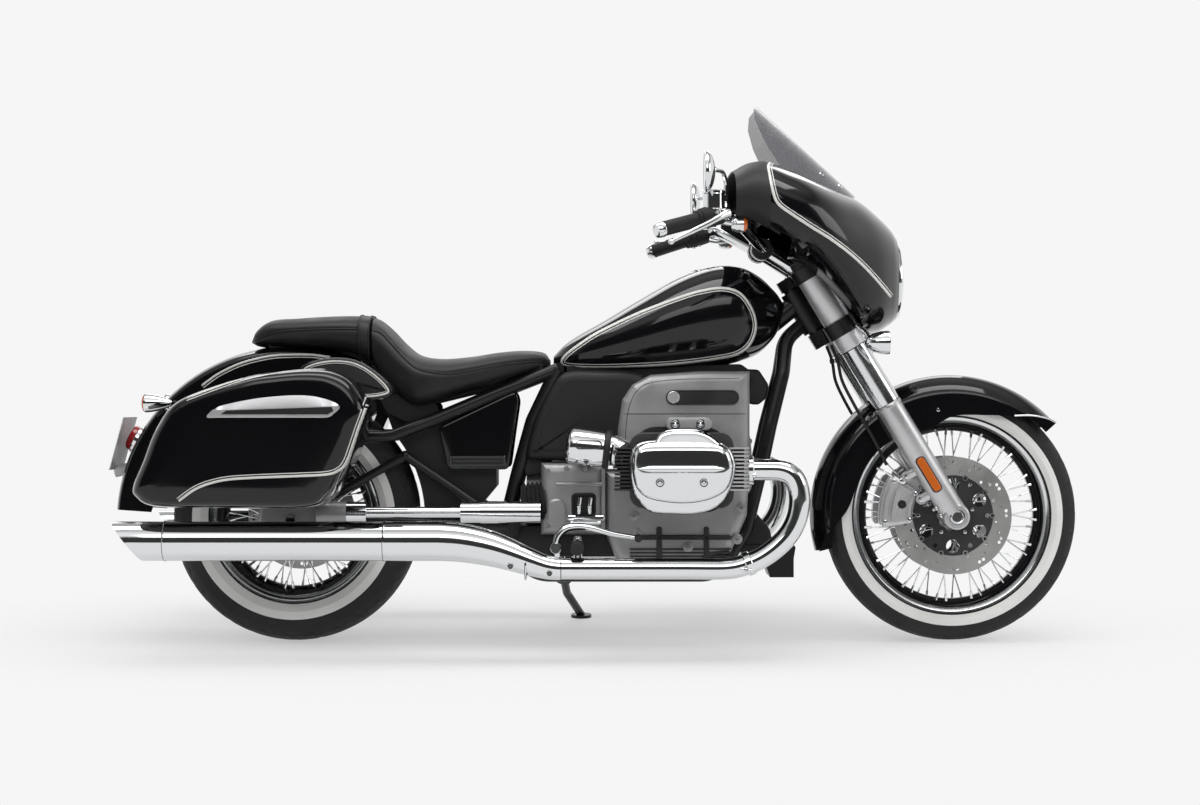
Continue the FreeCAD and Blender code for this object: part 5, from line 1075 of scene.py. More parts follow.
def round_box(x_low, x_high, z_low, z_high, radius, steps=6):
    out = []
    for x, z, quarter in ((x_high - radius, z_high - radius, 0),
            (x_low + radius, z_high - radius, 1), (x_low + radius, z_low + radius, 2),
            (x_high - radius, z_low + radius, 3)):
        for step in range(steps + 1):
            turn = pi / 2 * (quarter + step / steps)
            out.append((x + radius * cos(turn), z + radius * sin(turn)))
    return out


def shared(shares, start, bottom, length, height):
    """Points at shares of a length and a height."""
    return [(start + u * length, bottom + v * height) for u, v in shares]


ROCKER_BOX = (855, 342, 266, 215)
ROCKER_BASE = shared([(0.02, 0.57), (0.04, 0.74), (0.11, 0.825), (0.25, 0.853), (0.5, 0.86),
    (0.75, 0.853), (0.87, 0.825), (0.957, 0.712), (0.992, 0.54), (0.957, 0.343), (0.889, 0.172),
    (0.774, 0.06), (0.613, 0.01), (0.43, 0.01), (0.224, 0.03), (0.109, 0.144), (0.04, 0.314)],
    *ROCKER_BOX)
ROCKER_CAP = shared([(0.04, 0.57), (0.06, 0.72), (0.13, 0.8), (0.25, 0.83), (0.5, 0.838),
    (0.75, 0.83), (0.855, 0.8), (0.935, 0.7), (0.965, 0.54), (0.94, 0.37), (0.885, 0.27),
    (0.77, 0.19), (0.613, 0.145), (0.43, 0.14), (0.224, 0.18), (0.12, 0.25), (0.062, 0.37)],
    *ROCKER_BOX)
ROCKER_DOME = shared([(0.26, 0.6), (0.24, 0.78), (0.262, 0.86), (0.3, 0.925), (0.39, 0.965),
    (0.52, 0.972), (0.66, 0.962), (0.75, 0.92), (0.82, 0.855), (0.86, 0.8), (0.83, 0.62),
    (0.55, 0.55)], *ROCKER_BOX)


def slope(x, z):
    """How far the cap's face falls back above and below its ridge."""
    return 0.02 * max(0, z - 463) + 0.55 * max(0, z - 503) + 0.07 * max(0, 445 - z)


def rocker_parts():
    base = spline(ROCKER_BASE, 6, closed=True)
    cap = spline(ROCKER_CAP, 6, closed=True)
    dome = spline(ROCKER_DOME, 6, closed=True)
    gasket = stacked(grown(base, 1.5), [(-343, 0), (-349, 0), (-349, 5)], rows_in=1)
    chrome_parts = [
        stacked(base, [(-348, 2), (-349, 0.5), (-351, 0), (-366, 0), (-371, 1.5), (-375, 5),
            (-377, 9)], rows_in=1),
        stacked(cap, [(-370, 0, 0), (-379, 0, 0), (-384, 0.8, 0.15), (-389, 3, 0.4),
            (-393.5, 7, 0.7), (-396.5, 12, 0.9), (-398, 18, 1), (-398.5, 24, 1)], slope, 8),
        stacked(dome, [(-345, 0, 0), (-378, 0, 0.75), (-384, 1.2, 1), (-388, 4, 1), (-390.5, 8, 1),
            (-391.2, 13, 1)], lambda x, z: 0.5 * max(0, z - 505), 6)]
    path, radii = [], []
    for step in range(33):
        share = step / 32
        path.append((879 + 216 * share, -396.5, 454.5))
        radii.append(0.6 + 7.6 * min(1, sin(pi * share) * 2.4) ** 0.8)
    chrome_parts.append(tube(path, radii, 20))
    seam = stacked(grown(cap, 1.2), [(-372, 0), (-378.6, 0), (-378.6, 3)], rows_in=1)
    screws, wells = [], []
    for x in (933, 1040):
        wells.append(lathe([(0, 11.5), (3.2, 11.5), (4.2, 10.5), (4.2, 8.5), (2.6, 8)],
            about_line((x, -394.5, 421), (x, -401, 421)), 28))
        screws.append(screw((x, -395, 421), (0, -1, 0), 7, 5.5))
    return [gasket], chrome_parts + screws + wells, [seam]


def dressed(name, groups, mats, body, slot, replaces=None, mirror=False, sharp=32):
    """One object from groups of shapes, with a material for each group."""
    shapes = [both(*group) if mirror else joined(*group) for group in groups]
    used = list(dict.fromkeys(mats))
    picks = [used.index(mat) for (_, faces), mat in zip(shapes, mats) for _ in faces]
    return build(name, joined(*shapes), used, body, slot, replaces, picks, sharp)


dressed("rocker_cover_set", rocker_parts(), (plastic, chrome, plastic), "chassis", "chrome",
    "rocker_covers", mirror=True)


def cylinder_parts():
    dark, light = [], []
    for index in range(1, 11):
        y = -150 - index * 14
        fin = round_box(870, 1106, 344, 556, 58)
        dark.append(slab(fin, y + 2, y - 2))
    dark.append(sleeve(0, -155, 40, 84, about_y(988, -148, 450), 48))
    head = round_box(860, 1116, 356, 543, 34)
    dark.append(stacked(head, [(-296, 4), (-300, 0), (-340, 0), (-344, 3)], rows_in=1))
    for index in range(12):
        z = 402 + index * 9.3
        for x_low, x_high, metal in ((822, 905, dark), (1071, 1156, light)):
            plate = [(x_low, -300), (x_low + 2, -346), (x_high - 2, -346), (x_high, -300)]
            near = [(x, y, z - 2.1) for x, y in plate]
            far = [(x, y, z + 2.1) for x, y in plate]
            metal.append(rings([near, far]))
    dark.append(slab(round_box(836, 1142, 400, 506, 6), -302, -330))
    caps = stacked(pill(949, 1063, 564, 16.5), [(-292, 0), (-334, 0), (-337, 2), (-338, 5)],
        rows_in=1)
    tubes = []
    for x in (972, 1034):
        tubes += [
            sleeve(0, -142, 2, 13, about_y(x, -150, 564), 24),
            lathe([(0, 0.4), (0, 12), (-3, 12.5), (-5, 11), (-5, 8.5), (-3, 7.5), (-3, 5),
                (-6, 4.5), (-7, 0.4)], about_y(x, -338, 564), 28)]
    return dark, light, [caps], tubes


dressed("finned_cylinders", cylinder_parts(), (engine_dark, satin_metal, cast_grey, chrome),
    "chassis", "engine_metal", "cylinders", mirror=True, sharp=30)


def intake_parts():
    can = lathe([(0, 1), (0, 26), (2, 34), (6, 40), (12, 44), (19, 46), (91, 46), (95, 44.5),
        (97, 41), (97, 1)], about_line((702, -268, 511), (802, -268, 499)), 64)
    path = [(x, -268 - sqrt(max(46 ** 2 - (z - 505) ** 2, 0)) + 0.4, z)
        for x, z in pill(726, 790, 512, 9.5)]
    slot_ring = tube(path, 1.8, 8, closed=True)
    band = lathe([(0, 36), (0, 47.5), (3, 49), (11, 49), (14, 47.5), (14, 36)],
        about_line((798, -268, 500), (830, -269, 496)), 64, closed=True)
    path = bent([(808, -268, 499), (826, -270, 496), (846, -290, 484), (868, -318, 474)], 60, 8)
    radii = [39 - 5 * index / (len(path) - 1) for index in range(len(path))]
    elbow = tube(path, radii, 40)
    clamp = tube(bent([(852, -297, 481), (857, -303, 479), (863, -311, 476)], 60, 6), 38, 40)
    duct = tube([(748, -124, 505), (748, -240, 505)], 34, 36)
    return [can, elbow], [band, duct, clamp], [slot_ring]


dressed("intake_set", intake_parts(), (chrome, plastic, engine_dark), "chassis", "chrome",
    "intakes", mirror=True)

# Engine block: the cast cover's seam, plate, ribs, bolts, front cover and sump fins

block_tree = surface_of(frame["nodes"]["engine_block"])
for side_name, side in SIDES.items():
    stripe(f"engine_seam_{side_name}", block_tree, [(847 + 310 * step / 40, 588)
        for step in range(41)], 1.8, side, "chassis", "engine_metal", plastic, lift=0.2)
    stripe(f"engine_edge_{side_name}", block_tree, spline(
        [(852, 440), (852, 545), (862, 610), (884, 650), (920, 668), (1000, 676), (1140, 678)], 10),
        1.6, side, "chassis", "engine_metal", engine_dark, lift=0.2)


def engine_details():
    plate = pill(954, 1140, 630, 18.5)
    rim = stacked(plate, [(-149, 0), (-155, 0), (-156.5, 1.2), (-156.5, 3.2), (-154.6, 4)],
        rows_in=1)
    disc = lathe([(0, 0.5), (0, 15.5), (3.5, 15.5), (4.5, 14.2), (4.5, 12.6), (3.4, 12),
        (3.4, 0.5)], about_line((973, -154, 630), (973, -160, 630)), 36)
    lines = []
    for index in range(3):
        bar = round_box(998, 1126, 619 + index * 8, 621.5 + index * 8, 1)
        lines.append(slab(bar, -154, -155.4))
    front = [lathe([(0, 104), (8, 104), (12, 100), (12, 86), (9, 82), (9, 50), (14, 46), (14, 2)],
        about_x(1164, 0, 430), 56)]
    for index in range(8):
        turn = pi * 2 * (index + 0.5) / 8
        front.append(screw((1175, 94 * cos(turn), 430 + 94 * sin(turn)), (1, 0, 0), 6, 5))
    sump = []
    for index in range(5):
        z = 206 + index * 9
        sump.append(rings([[(862, -138, z), (1120, -138, z), (1120, -153, z), (862, -153, z)],
            [(862, -138, z + 4), (1120, -138, z + 4), (1120, -153, z + 4), (862, -153, z + 4)]]))
    bolts = []
    for x, z in ((866, 470), (872, 330), (1010, 250), (1135, 270), (1146, 350), (880, 285)):
        bolts += [
            lathe([(0, 14), (5, 13), (6, 11), (6, 1)], about_line((x, -148, z), (x, -156, z)), 20),
            screw((x, -153, z), (0, -1, 0), 6.5, 4)]
    rib = []
    for x_low, x_high, z_low, z_high in ((880, 1120, 268, 280), (930, 944, 215, 300),
            (1050, 1064, 215, 300)):
        rib.append(stacked(round_box(x_low, x_high, z_low, z_high, 5),
            [(-148, 0), (-155, 0), (-157, 2)], rows_in=1))
    return ([both(rim), both(*lines)], [both(disc)], front, [both(*sump), both(*rib)],
        [both(*bolts)])


dressed("engine_fittings", engine_details(), (engine_dark, satin_metal, cast_grey, engine_dark,
    cast_grey), "chassis", "engine_metal")


def gearbox_details():
    grey, bright, dark = [], [], []
    grey += [
        stacked(round_box(672, 793, 405, 413, 3.8), [(-139, 0), (-144, 0), (-146, 2)], rows_in=1),
        stacked(round_box(790, 800, 296, 452, 4), [(-139, 0), (-143, 0), (-144, 1)], rows_in=1),
        stacked(round_box(652, 700, 300, 372, 22), [(-139, 0), (-147, 0), (-151, 5)], rows_in=2)]
    dark.append(stacked(round_box(714, 776, 328, 386, 11),
        [(-139, 0), (-145, 0), (-147, 2), (-147, 6), (-144, 8)], rows_in=1))
    for x in (733, 760):
        bright += [
            tube(bent([(x, -147, 334), (x, -150, 352), (x + 3, -150, 376)], 20, 5), [5.5] * 8, 14),
            screw((x, -149, 354), (0, -1, 0), 6, 6)]
    bright += [
        stacked(round_box(704, 798, 318, 330, 4), [(-141, 0), (-160, 0), (-162, 2)], rows_in=1),
        tube([(712, -166, 312), (788, -166, 312)], 5, 14)]
    for x, z in ((653, 444), (700, 450), (750, 450), (653, 300), (780, 296)):
        grey.append(screw((x, -138, z), (0, -1, 0), 6.5, 5))
    return grey, bright, dark


dressed("gearbox_fittings", gearbox_details(), (cast_grey, chrome, plastic), "chassis",
    "engine_metal", mirror=True)

# Exhaust

EXHAUST_Y = -318
HEADER_PATH = spline([(x, EXHAUST_Y, z) for x, z in ((1152, 450.5), (1195, 451), (1234, 449),
    (1260, 436), (1275, 410), (1280, 372), (1272, 328), (1252, 290), (1220, 257), (1182, 231),
    (1140, 214), (1095, 206), (1000, 206), (850, 206), (691, 206))], 8)


PIPE_HEIGHT = 206
SILENCER_HEIGHT = 274
SILENCER_RADIUS = 48.7
SLASH = 77
# Place along the cone, radius and rise, as shares
CONE_SHARES = ((0.0, 0.6, 0.0), (0.04, 0.62, 0.01), (0.12, 0.67, 0.07), (0.25, 0.78, 0.26),
    (0.4, 0.89, 0.5), (0.55, 0.97, 0.71), (0.7, 1.02, 0.86), (0.85, 1.05, 0.96), (1.0, 1.06, 1.0))
# Place, radius and share of the slash, round the tail and back inside
TAIL_RINGS = ((-350, 48.7, 0.35), (-400, 48.7, 0.8), (-421, 48.4, 1), (-421.3, 47, 1),
    (-420.5, 45.6, 1), (-400, 45.4, 0.9), (-290, 45.2, 0.2), (-286, 44, 0))


def silencer_shape():
    """The cone, the round body and the slashed tail with its bore."""
    def ring(x, z, radius, slash=0):
        return [(x + SLASH * slash * (1 - radius * sin(turn) / SILENCER_RADIUS) / 2,
            EXHAUST_Y + radius * cos(turn), z + radius * sin(turn)) for turn in turns(64)]

    cone = spline([(689 - 300 * share, PIPE_HEIGHT + 68 * rise, 46 * radius)
        for share, radius, rise in CONE_SHARES], 5)
    rows = [ring(*station) for station in cone]
    rows += [ring(x, SILENCER_HEIGHT, SILENCER_RADIUS) for x in (300, 200, 0, -200, -300)]
    rows += [ring(x, SILENCER_HEIGHT, radius, slash) for x, radius, slash in TAIL_RINGS]
    return rings(rows)


def exhaust_parts():
    header = tube(HEADER_PATH, 26.5, 36)
    flange = lathe([(0, 28), (0, 37), (9, 37), (12, 34), (12, 28)], about_x(1154, EXHAUST_Y, 450),
        40, closed=True)
    nuts = [screw((1162, EXHAUST_Y + 33 * side, 450 + 12 * side), (1, 0, 0), 6, 10)
        for side in (-1, 1)]
    bands, lines = [], []
    for x, height, radius, width in ((602, 215.5, 36.8, 3), (252, SILENCER_HEIGHT, 49.1, 3.4),
            (-289, SILENCER_HEIGHT, 49.1, 2.4)):
        bands.append(lathe([(0, radius - 2), (0, radius + 0.6), (width / 2, radius + 1.3),
            (width, radius + 0.6), (width, radius - 2)], about_x(x, EXHAUST_Y, height), 56,
            closed=True))
    for x, height, radius in ((600.5, 215.7, 37.4), (250.4, SILENCER_HEIGHT, 48.9),
            (-290.6, SILENCER_HEIGHT, 48.9)):
        lines.append(sleeve(0, 1.6, radius - 1, radius + 0.25, about_x(x, EXHAUST_Y, height), 56))
    spot = Vector((1154, EXHAUST_Y, 219))
    way = Vector((0.92, 0, 0.39))
    clamp = [
        lathe(mirrored([(9, 26), (9, 29), (7, 30.5)]), about_line(spot, spot + way), 44,
            closed=True),
        screw(spot + Vector((-8, -31, -14)), (0, -1, 0), 6, 7),
        tube([spot + Vector((-20, -29, -12)), spot + Vector((6, -29, -16))], 4.5, 12)]
    for x, z in ((566, 214), (662, 196)):
        clamp.append(lathe([(0, 8), (4, 8), (5, 6.5), (5, 1)],
            about_line((x, EXHAUST_Y - 34 + (x > 600) * 7, z), (x, EXHAUST_Y - 44, z)), 20))
    return [header, flange, *nuts], [silencer_shape(), *bands, *clamp], lines


header, *silencer = exhaust_parts()
build("header_pipes", both(*header), chrome, "chassis", "chrome", "headers", sharp=32)
dressed("silencer_pair", silencer, (chrome, engine_dark), "chassis", "chrome", "silencers",
    mirror=True)

# Fork, calipers, handlebar, controls, mirrors, hoses and screen


FORK_HALF = 118
FRONT_AXLE = (WHEELBASE, 0, FRONT_RADIUS)


def leg_parts():
    satin, bright, dark = [], [], []
    for side in SIDES.values():
        y = side * FORK_HALF
        spot = about_leg(y)
        satin += [
            lathe([(-6, 1), (-6, 24), (0, 30), (12, 33.6), (324, 34), (326, 35.6), (335, 35.6),
                (336, 35), (336, 1)], spot, 56),
            lathe(mirrored([(29, 20), (29, 29), (27, 32), (24, 33.5)]),
                about_y(WHEELBASE, y, FRONT_RADIUS), 56, closed=True)]
        bright.append(sleeve(337.6, 503, 30, 35.2, spot, 56))
        satin.append(lathe([(505, 30), (505, 36.6), (506, 37.2), (714, 37.2), (714, 30)], spot, 56,
            closed=True))
        dark += [sleeve(335.6, 338, 30, 34.9, spot, 48), sleeve(502.6, 505.4, 30, 36.5, spot, 48)]
        # The black cap on top of each leg
        dark.append(lathe([(712, 20), (712, 39.5), (716, 41), (742, 41), (746, 39), (748, 34),
            (752, 33), (764, 32), (767, 29), (767, 1)], spot, 48))
        bright.append(lathe([(766, 0.5), (766, 15), (772, 14.5), (774, 12), (774, 0.5)], spot, 6))
        out = y + side * 29
        bright.append(lathe([(0, 19), (side * 2.5, 18.5), (side * 3, 16), (side * 1.5, 13),
            (side * 1.5, 12.5)], about_y(WHEELBASE, out, FRONT_RADIUS), 40))
        dark.append(lathe([(side * 0.5, 0.4), (side * 0.5, 12.6), (side * 2.2, 12.6)],
            about_y(WHEELBASE, out, FRONT_RADIUS), 32))
        for along in (22, 44):
            place = Vector(fork(-30, y + side * 14, along))
            way = (Vector(fork(-40, y + side * 14, along)) - place).normalized()
            bright.append(screw(place, way, 6, 6))
        # Lugs that carry the caliper
        for along in (82, 151):
            start = Vector(fork(-22, y, along))
            end = Vector(fork(-52, y - side * 8, along))
            satin += [
                tube([start, end], [15, 12], 20),
                lathe(mirrored([(9, 1), (9, 13)]), about_y(end.x, end.y, end.z), 28)]
            bright.append(screw((end.x, end.y + side * 8, end.z), (0, side, 0), 8, 6))
        # Two screws that hold the fender
        for along in (236, 262):
            start = Vector(fork(0, y - side * 30, along))
            bright.append(screw(start, (0, -side, 0), 6, 7))
    return satin, bright, dark


dressed("fork_leg_set", leg_parts(), (satin_metal, polished, plastic), "steering", "fork_metal",
    "fork_legs")


def reflector_parts():
    """An amber plate in a black frame on the outer face of each leg."""
    frame_shape, lens = [], []
    for side in SIDES.values():
        for inset, low, high, shapes in ((0, 31, 35.6, frame_shape), (3.2, 34, 36.8, lens)):
            half_width, half_length = 13.5 - inset, 51 - inset
            rim = round_box(-half_width, half_width, 130 - half_length, 130 + half_length,
                11 - inset)
            rows = []
            for out, shrink in ((low, 0), (high - 1.2, 0), (high, 1.6)):
                row = []
                for u, w in rim:
                    u = u * (1 - shrink / half_width)
                    w = 130 + (w - 130) * (1 - shrink / half_length)
                    drop = 36 - sqrt(36 ** 2 - u ** 2)
                    row.append(fork(-6 + u, side * (FORK_HALF + out - drop * 0.6), w))
                rows.append(row)
            shapes.append(rings(rows))
    return frame_shape, lens


dressed("fork_reflectors", reflector_parts(), (plastic, amber_glass), "steering", "red_lens")


def arc_block(centre, rows_of, start, end, low, high, steps=20, round_off=3.0):
    """A block between two radii and two places across, bent round an axle."""
    inner, outer = rows_of
    profile = [(inner, low + round_off), (inner + round_off * 0.4, low + round_off * 0.4),
        (inner + round_off, low), (outer - round_off, low),
        (outer - round_off * 0.4, low + round_off * 0.4), (outer, low + round_off),
        (outer, high - round_off), (outer - round_off * 0.4, high - round_off * 0.4),
        (outer - round_off, high), (inner + round_off, high),
        (inner + round_off * 0.4, high - round_off * 0.4), (inner, high - round_off)]
    rows = []
    for step in range(steps + 1):
        turn = radians(start + (end - start) * step / steps)
        shrink = round_off * 0.7 if step in (0, steps) else 0
        middle = (inner + outer) / 2
        across = (low + high) / 2
        row = []
        for radius, y in profile:
            radius = middle + (radius - middle) * (1 - shrink / (outer - inner))
            y = across + (y - across) * (1 - shrink / abs(high - low))
            row.append((centre[0] + radius * cos(turn), y, centre[2] + radius * sin(turn)))
        rows.append(row)
    return rings(rows)


def caliper_parts(centre, disc_y, disc_radius, start, end, side, reach):
    """A fixed caliper: two halves, the bridge, a finned face, bolts and the hose's fitting."""
    satin, bright, dark = [], [], []

    def across(out):
        return disc_y + side * out

    def block(radii, begin, stop, low, high, round_off=3.0):
        ends = sorted((across(low), across(high)))
        return arc_block(centre, radii, begin, stop, *ends, round_off=round_off)

    outer = disc_radius + reach
    satin += [
        block((disc_radius - 42, outer - 5), start, end, 9.5, 24, 5),
        block((disc_radius - 40, outer - 7), start + 1, end - 1, -24, -9.5, 5),
        block((disc_radius + 7, outer), start + 2, end - 2, -20, 20, 4)]
    # The finned plate with its bare recess
    satin += [
        block((disc_radius - 28, outer - 30), start + 4, end - 4, 22, 29, 2.4),
        block((disc_radius - 28, disc_radius - 23), start + 4, end - 4, 27, 33, 1.6),
        block((outer - 35, outer - 30), start + 4, end - 4, 27, 33, 1.6)]
    for turn in (start + 5, end - 5):
        satin.append(block((disc_radius - 28, outer - 30), turn - 1, turn + 1, 27, 33, 1.4))
    for place in (disc_radius - 16, disc_radius - 4, outer - 24, outer - 12):
        satin.append(block((place - 1.5, place + 1.5), start + 9, end - 9, 23, 30.5, 1))
    for turn_deg in (start + 4, end - 4):
        turn = radians(turn_deg)
        for radius in (disc_radius - 35, outer - 14):
            place = (centre[0] + radius * cos(turn), across(25), centre[2] + radius * sin(turn))
            bright.append(screw(place, (0, side, 0), 6.2, 6))
    middle = radians((start + end) / 2)
    place = (centre[0] + (disc_radius - 12) * cos(middle), across(30),
        centre[2] + (disc_radius - 12) * sin(middle))
    dark.append(lathe([(0, 11), (side * 1.4, 10.4), (side * 1.6, 8), (side * 1.6, 0.5)],
        about_y(*place), 28))
    top = radians(start)
    place = Vector((centre[0] + (disc_radius + 10) * cos(top), across(20),
        centre[2] + (disc_radius + 10) * sin(top)))
    bright.append(lathe([(0, 1), (0, 8), (side * 7, 8), (side * 8, 6), (side * 8, 1)],
        about_y(*place), 24))
    return satin, bright, dark


right_front, left_front = (caliper_parts(FRONT_AXLE, side * 72, disc_radius=150, start=146,
    end=189, side=side, reach=42) for side in SIDES.values())
dressed("front_caliper_pair", [near + far for near, far in zip(right_front, left_front)],
    (satin_metal, chrome, plastic), "steering", "fork_metal", "front_calipers")
dressed("rear_caliper_body", caliper_parts((0, 0, REAR_RADIUS), 84, disc_radius=140, start=60,
    end=96, side=1, reach=22), (satin_metal, chrome, plastic), "chassis", "fork_metal",
    "rear_caliper")

# Handlebar

CLAMP = (1203.7, 0, 1011.7)


def bar_corners(side):
    x, _, z = CLAMP
    return [(x, 0, z), (x, side * 92.8, z), (x - 100, side * 335, z + 76),
        (x - 281, side * 432, z + 22)]


def bar_spot(side, back):
    """A place on a grip, measured back from its end, and the way along it."""
    bend, end = (Vector(point) for point in bar_corners(side)[2:])
    along = (end - bend).normalized()
    return end - along * back, along


def handlebar_parts():
    bright, dark = [], []
    for side in SIDES.values():
        bright.append(tube(bent(bar_corners(side), 42, 10), 14, 24))
        top = Vector((CLAMP[0], side * 58, CLAMP[2]))
        foot = Vector(fork(-15, side * 58, 744))
        bright.append(lathe([(0, 15), (0, 25), (6, 25), (10, 20), (70, 19), (92, 19), (92, 10)],
            about_line(foot, top), 40))
        dark.append(lathe(mirrored([(30, 14), (30, 24), (27, 27)]), about_y(*top), 44, closed=True))
        for step in range(5):
            y = top.y + (step - 2) * 12
            bright.append(lathe(mirrored([(2, 26), (2, 28.5)]), about_y(top.x, y, top.z), 44,
                closed=True))
        for x in (-19, 19):
            bright.append(screw((top.x + x, top.y, top.z + 20), (0, 0, 1), 6.5, 7))
    return bright, dark


dressed("handlebar_tube", handlebar_parts(), (chrome, plastic), "steering", "chrome", "handlebar")


def control_parts():
    black, bright, lens, metal = [], [], [], []
    for side in SIDES.values():
        end, along = bar_spot(side, 0)
        start, _ = bar_spot(side, 187)
        line = about_line(start, end)
        black.append(lathe([(60, 15), (60, 21), (63, 23), (68, 23), (70, 18.6)]
            + [(74 + 4 * step, 18.6 if step % 2 else 17.8) for step in range(24)]
            + [(170, 18.6), (171, 16)], line, 36))
        bright.append(lathe([(168, 14), (168, 19.6), (171, 20), (184, 19), (187, 17), (188, 12),
            (186, 8), (186, 0.5)], line, 36))
        black.append(lathe([(-4, 14.5), (-4, 22), (0, 25.5), (40, 26.5), (56, 25.5), (60, 22),
            (60, 14.5)], line, 36))
        for offset in (26, 44):
            spot = start + along * offset
            back = Vector((along.y * side, -along.x * side, 0)).normalized() * -1
            black.append(tube([spot + back * 22, spot + back * 30], [6.5, 5.5], 16))
            bright.append(tube([spot + Vector((0, 0, -22)), spot + Vector((0, 0, -29))], [6, 5],
                14))
        perch = start + along * 18.6
        forward = Vector((along.y * side, -along.x * side, 0)).normalized()
        bright.append(lathe([(14, 8), (14, 25), (17, 27), (52, 27), (54, 28.5), (60, 28.5),
            (62, 26), (62, 0.5)], about_z(*perch), 36))
        for turn in (0.7, 2.3, 3.9, 5.5):
            bright.append(screw((perch.x + 21 * cos(turn), perch.y + 21 * sin(turn), perch.z + 61),
                (0, 0, 1), 3, 2.4))
        pivot = perch + forward * 45
        metal.append(tube([perch + forward * 10, perch + forward * 28, pivot], [17, 13, 11], 20))
        bright.append(lathe(mirrored([(12, 0.5), (12, 9), (10, 11)]), about_z(*pivot), 28))
        # A small turn signal under each switch
        lamp = start + along * -26 + Vector((22, 0, -32))
        bright.append(lathe([(-16, 6), (-14, 14), (-6, 18), (8, 19.5), (14, 19.5), (14, 17)],
            about_x(*lamp), 36))
        lens.append(lathe([(13, 17.5), (18, 16.5), (23, 12), (25, 0.4)], about_x(*lamp), 36))
        bright.append(tube([start + along * -6 + Vector((0, 0, -20)), lamp], [8, 6], 14))
    return black, bright, lens, metal


dressed("grips_and_switches", control_parts(), (plastic, chrome, amber_glass, polished), "steering",
    "dark_plastic", "hand_controls")


def lever_shapes():
    shapes = []
    for side in SIDES.values():
        start, along = bar_spot(side, 187)
        forward = Vector((along.y * side, -along.x * side, 0)).normalized()
        pivot = start + along * 18.6 + forward * 52.3
        up = along.cross(forward).normalized()
        rows = []
        for back, out, wide, thick, drop in ((-14, 2, 9, 5, 0), (0, 4, 10, 6, 0),
                (22, 8, 8, 5.6, 4), (60, 9, 7, 4.6, 12), (100, 7, 6.4, 4.2, 19), (130, 3, 6, 4, 24),
                (150, -2, 5.2, 4, 29), (160, -2, 4.6, 4, 31)):
            middle = pivot + along * back + forward * out - up * drop
            rows.append([tuple(middle + up * wide * cos(turn) + forward * thick * sin(turn))
                for turn in turns(20)])
        lines = [spline(line, 4) for line in zip(*rows)]
        shapes += [rings(list(zip(*lines))), ball(pivot + along * 163 - forward * 2 - up * 32, 7.6)]
    return joined(*shapes)


build("lever_pair", lever_shapes(), polished, "steering", "chrome", "levers", sharp=50)


def mirror_parts():
    bright, glass = [], []
    for side in SIDES.values():
        start, along = bar_spot(side, 187)
        foot = start - along * 16.5 + Vector((0, 0, 14))
        head = Vector((CLAMP[0] - 164, side * 425, CLAMP[2] + 166))
        knee = Vector((foot.x, foot.y, head.z + 6))
        joint = head + Vector((22, 0, 5))
        bright += [
            tube(bent([foot, knee, joint], 34, 12), 5.6, 18),
            lathe([(-6, 1), (-6, 9), (8, 9), (12, 6.5), (12, 1)], about_z(*foot), 24),
            lathe([(0, 46), (0.5, 49), (2.5, 51), (6, 51.5), (12, 48), (18, 40), (23, 28), (26, 14),
                (27, 0.5)], about_x(*head), 56)]
        glass.append(lathe([(1.2, 0.5), (1, 30), (0.4, 47.5)], about_x(*head), 56))
        bright.append(ball(joint, 9))
    return bright, glass


dressed("mirror_pair", mirror_parts(), (chrome, mirror_glass), "steering", "chrome", "mirrors",
    sharp=40)

# Hoses under the yoke, with their clips


def hose_shapes():
    shapes = []
    for side in SIDES.values():
        route = [fork(236 * u, side * 236 * v, 545 * w) for u, v, w in ((-0.17, 0.26, 0.985),
            (-0.2, 0.3, 0.91), (-0.275, 0.36, 0.82), (-0.3, 0.395, 0.72), (-0.31, 0.4, 0.6),
            (-0.32, 0.4, 0.48), (-0.34, 0.39, 0.37))]
        shapes.append(tube(spline(route, 8), 4.2, 12))
        for index in (1, 4):
            place = route[index]
            after = route[index + 1]
            shapes.append(lathe(mirrored([(5, 3), (5, 6.5)]), about_line(place, after), 20,
                closed=True))
    return joined(*shapes)


build("hose_pair", hose_shapes(), rubber, "steering", "dark_plastic", "brake_hoses")


def screen_screws():
    shapes = []
    tree = surface_of(frame["nodes"]["windscreen"])
    for side in SIDES.values():
        for x, z in ((1352, 1200), (1402, 1172)):
            hit, normal = on_surface(tree, x, z, side, 0.0)
            way = upright_way(normal)
            shapes.append(screw(upright(hit) - way * 1.5, way, 7, 5))
    return joined(*shapes)


build("screen_screws", screen_screws(), chrome, "steering", "chrome")

# Seats

PILLION_SHARES = [(0.0, 0.44, 0.51, 0.48), (0.05, 0.38, 0.73, 0.72), (0.17, 0.35, 0.91, 0.86),
    (0.38, 0.32, 0.95, 0.94), (0.55, 0.3, 0.98, 0.98), (0.75, 0.26, 1.0, 1.0),
    (0.89, 0.17, 1.0, 1.0), (1.0, 0.0, 0.98, 0.98)]
RIDER_SHARES = [(0.0, 0.47, 0.98, 0.81), (0.04, 0.32, 0.94, 0.83), (0.1, 0.19, 0.84, 0.87),
    (0.18, 0.06, 0.68, 0.91), (0.26, 0.01, 0.57, 0.96), (0.38, 0.07, 0.53, 1.0),
    (0.54, 0.17, 0.55, 0.98), (0.71, 0.26, 0.6, 0.9), (0.85, 0.34, 0.62, 0.73),
    (0.96, 0.41, 0.6, 0.53), (1.0, 0.44, 0.52, 0.38)]
PILLION_SEAM = [(-100, 776), (-40, 796), (60, 803), (160, 804), (197, 801)]
RIDER_SEAM = [(208, 800), (230, 792), (262, 758), (296, 722), (330, 700), (400, 690), (480, 703),
    (560, 716), (620, 722), (650, 718)]


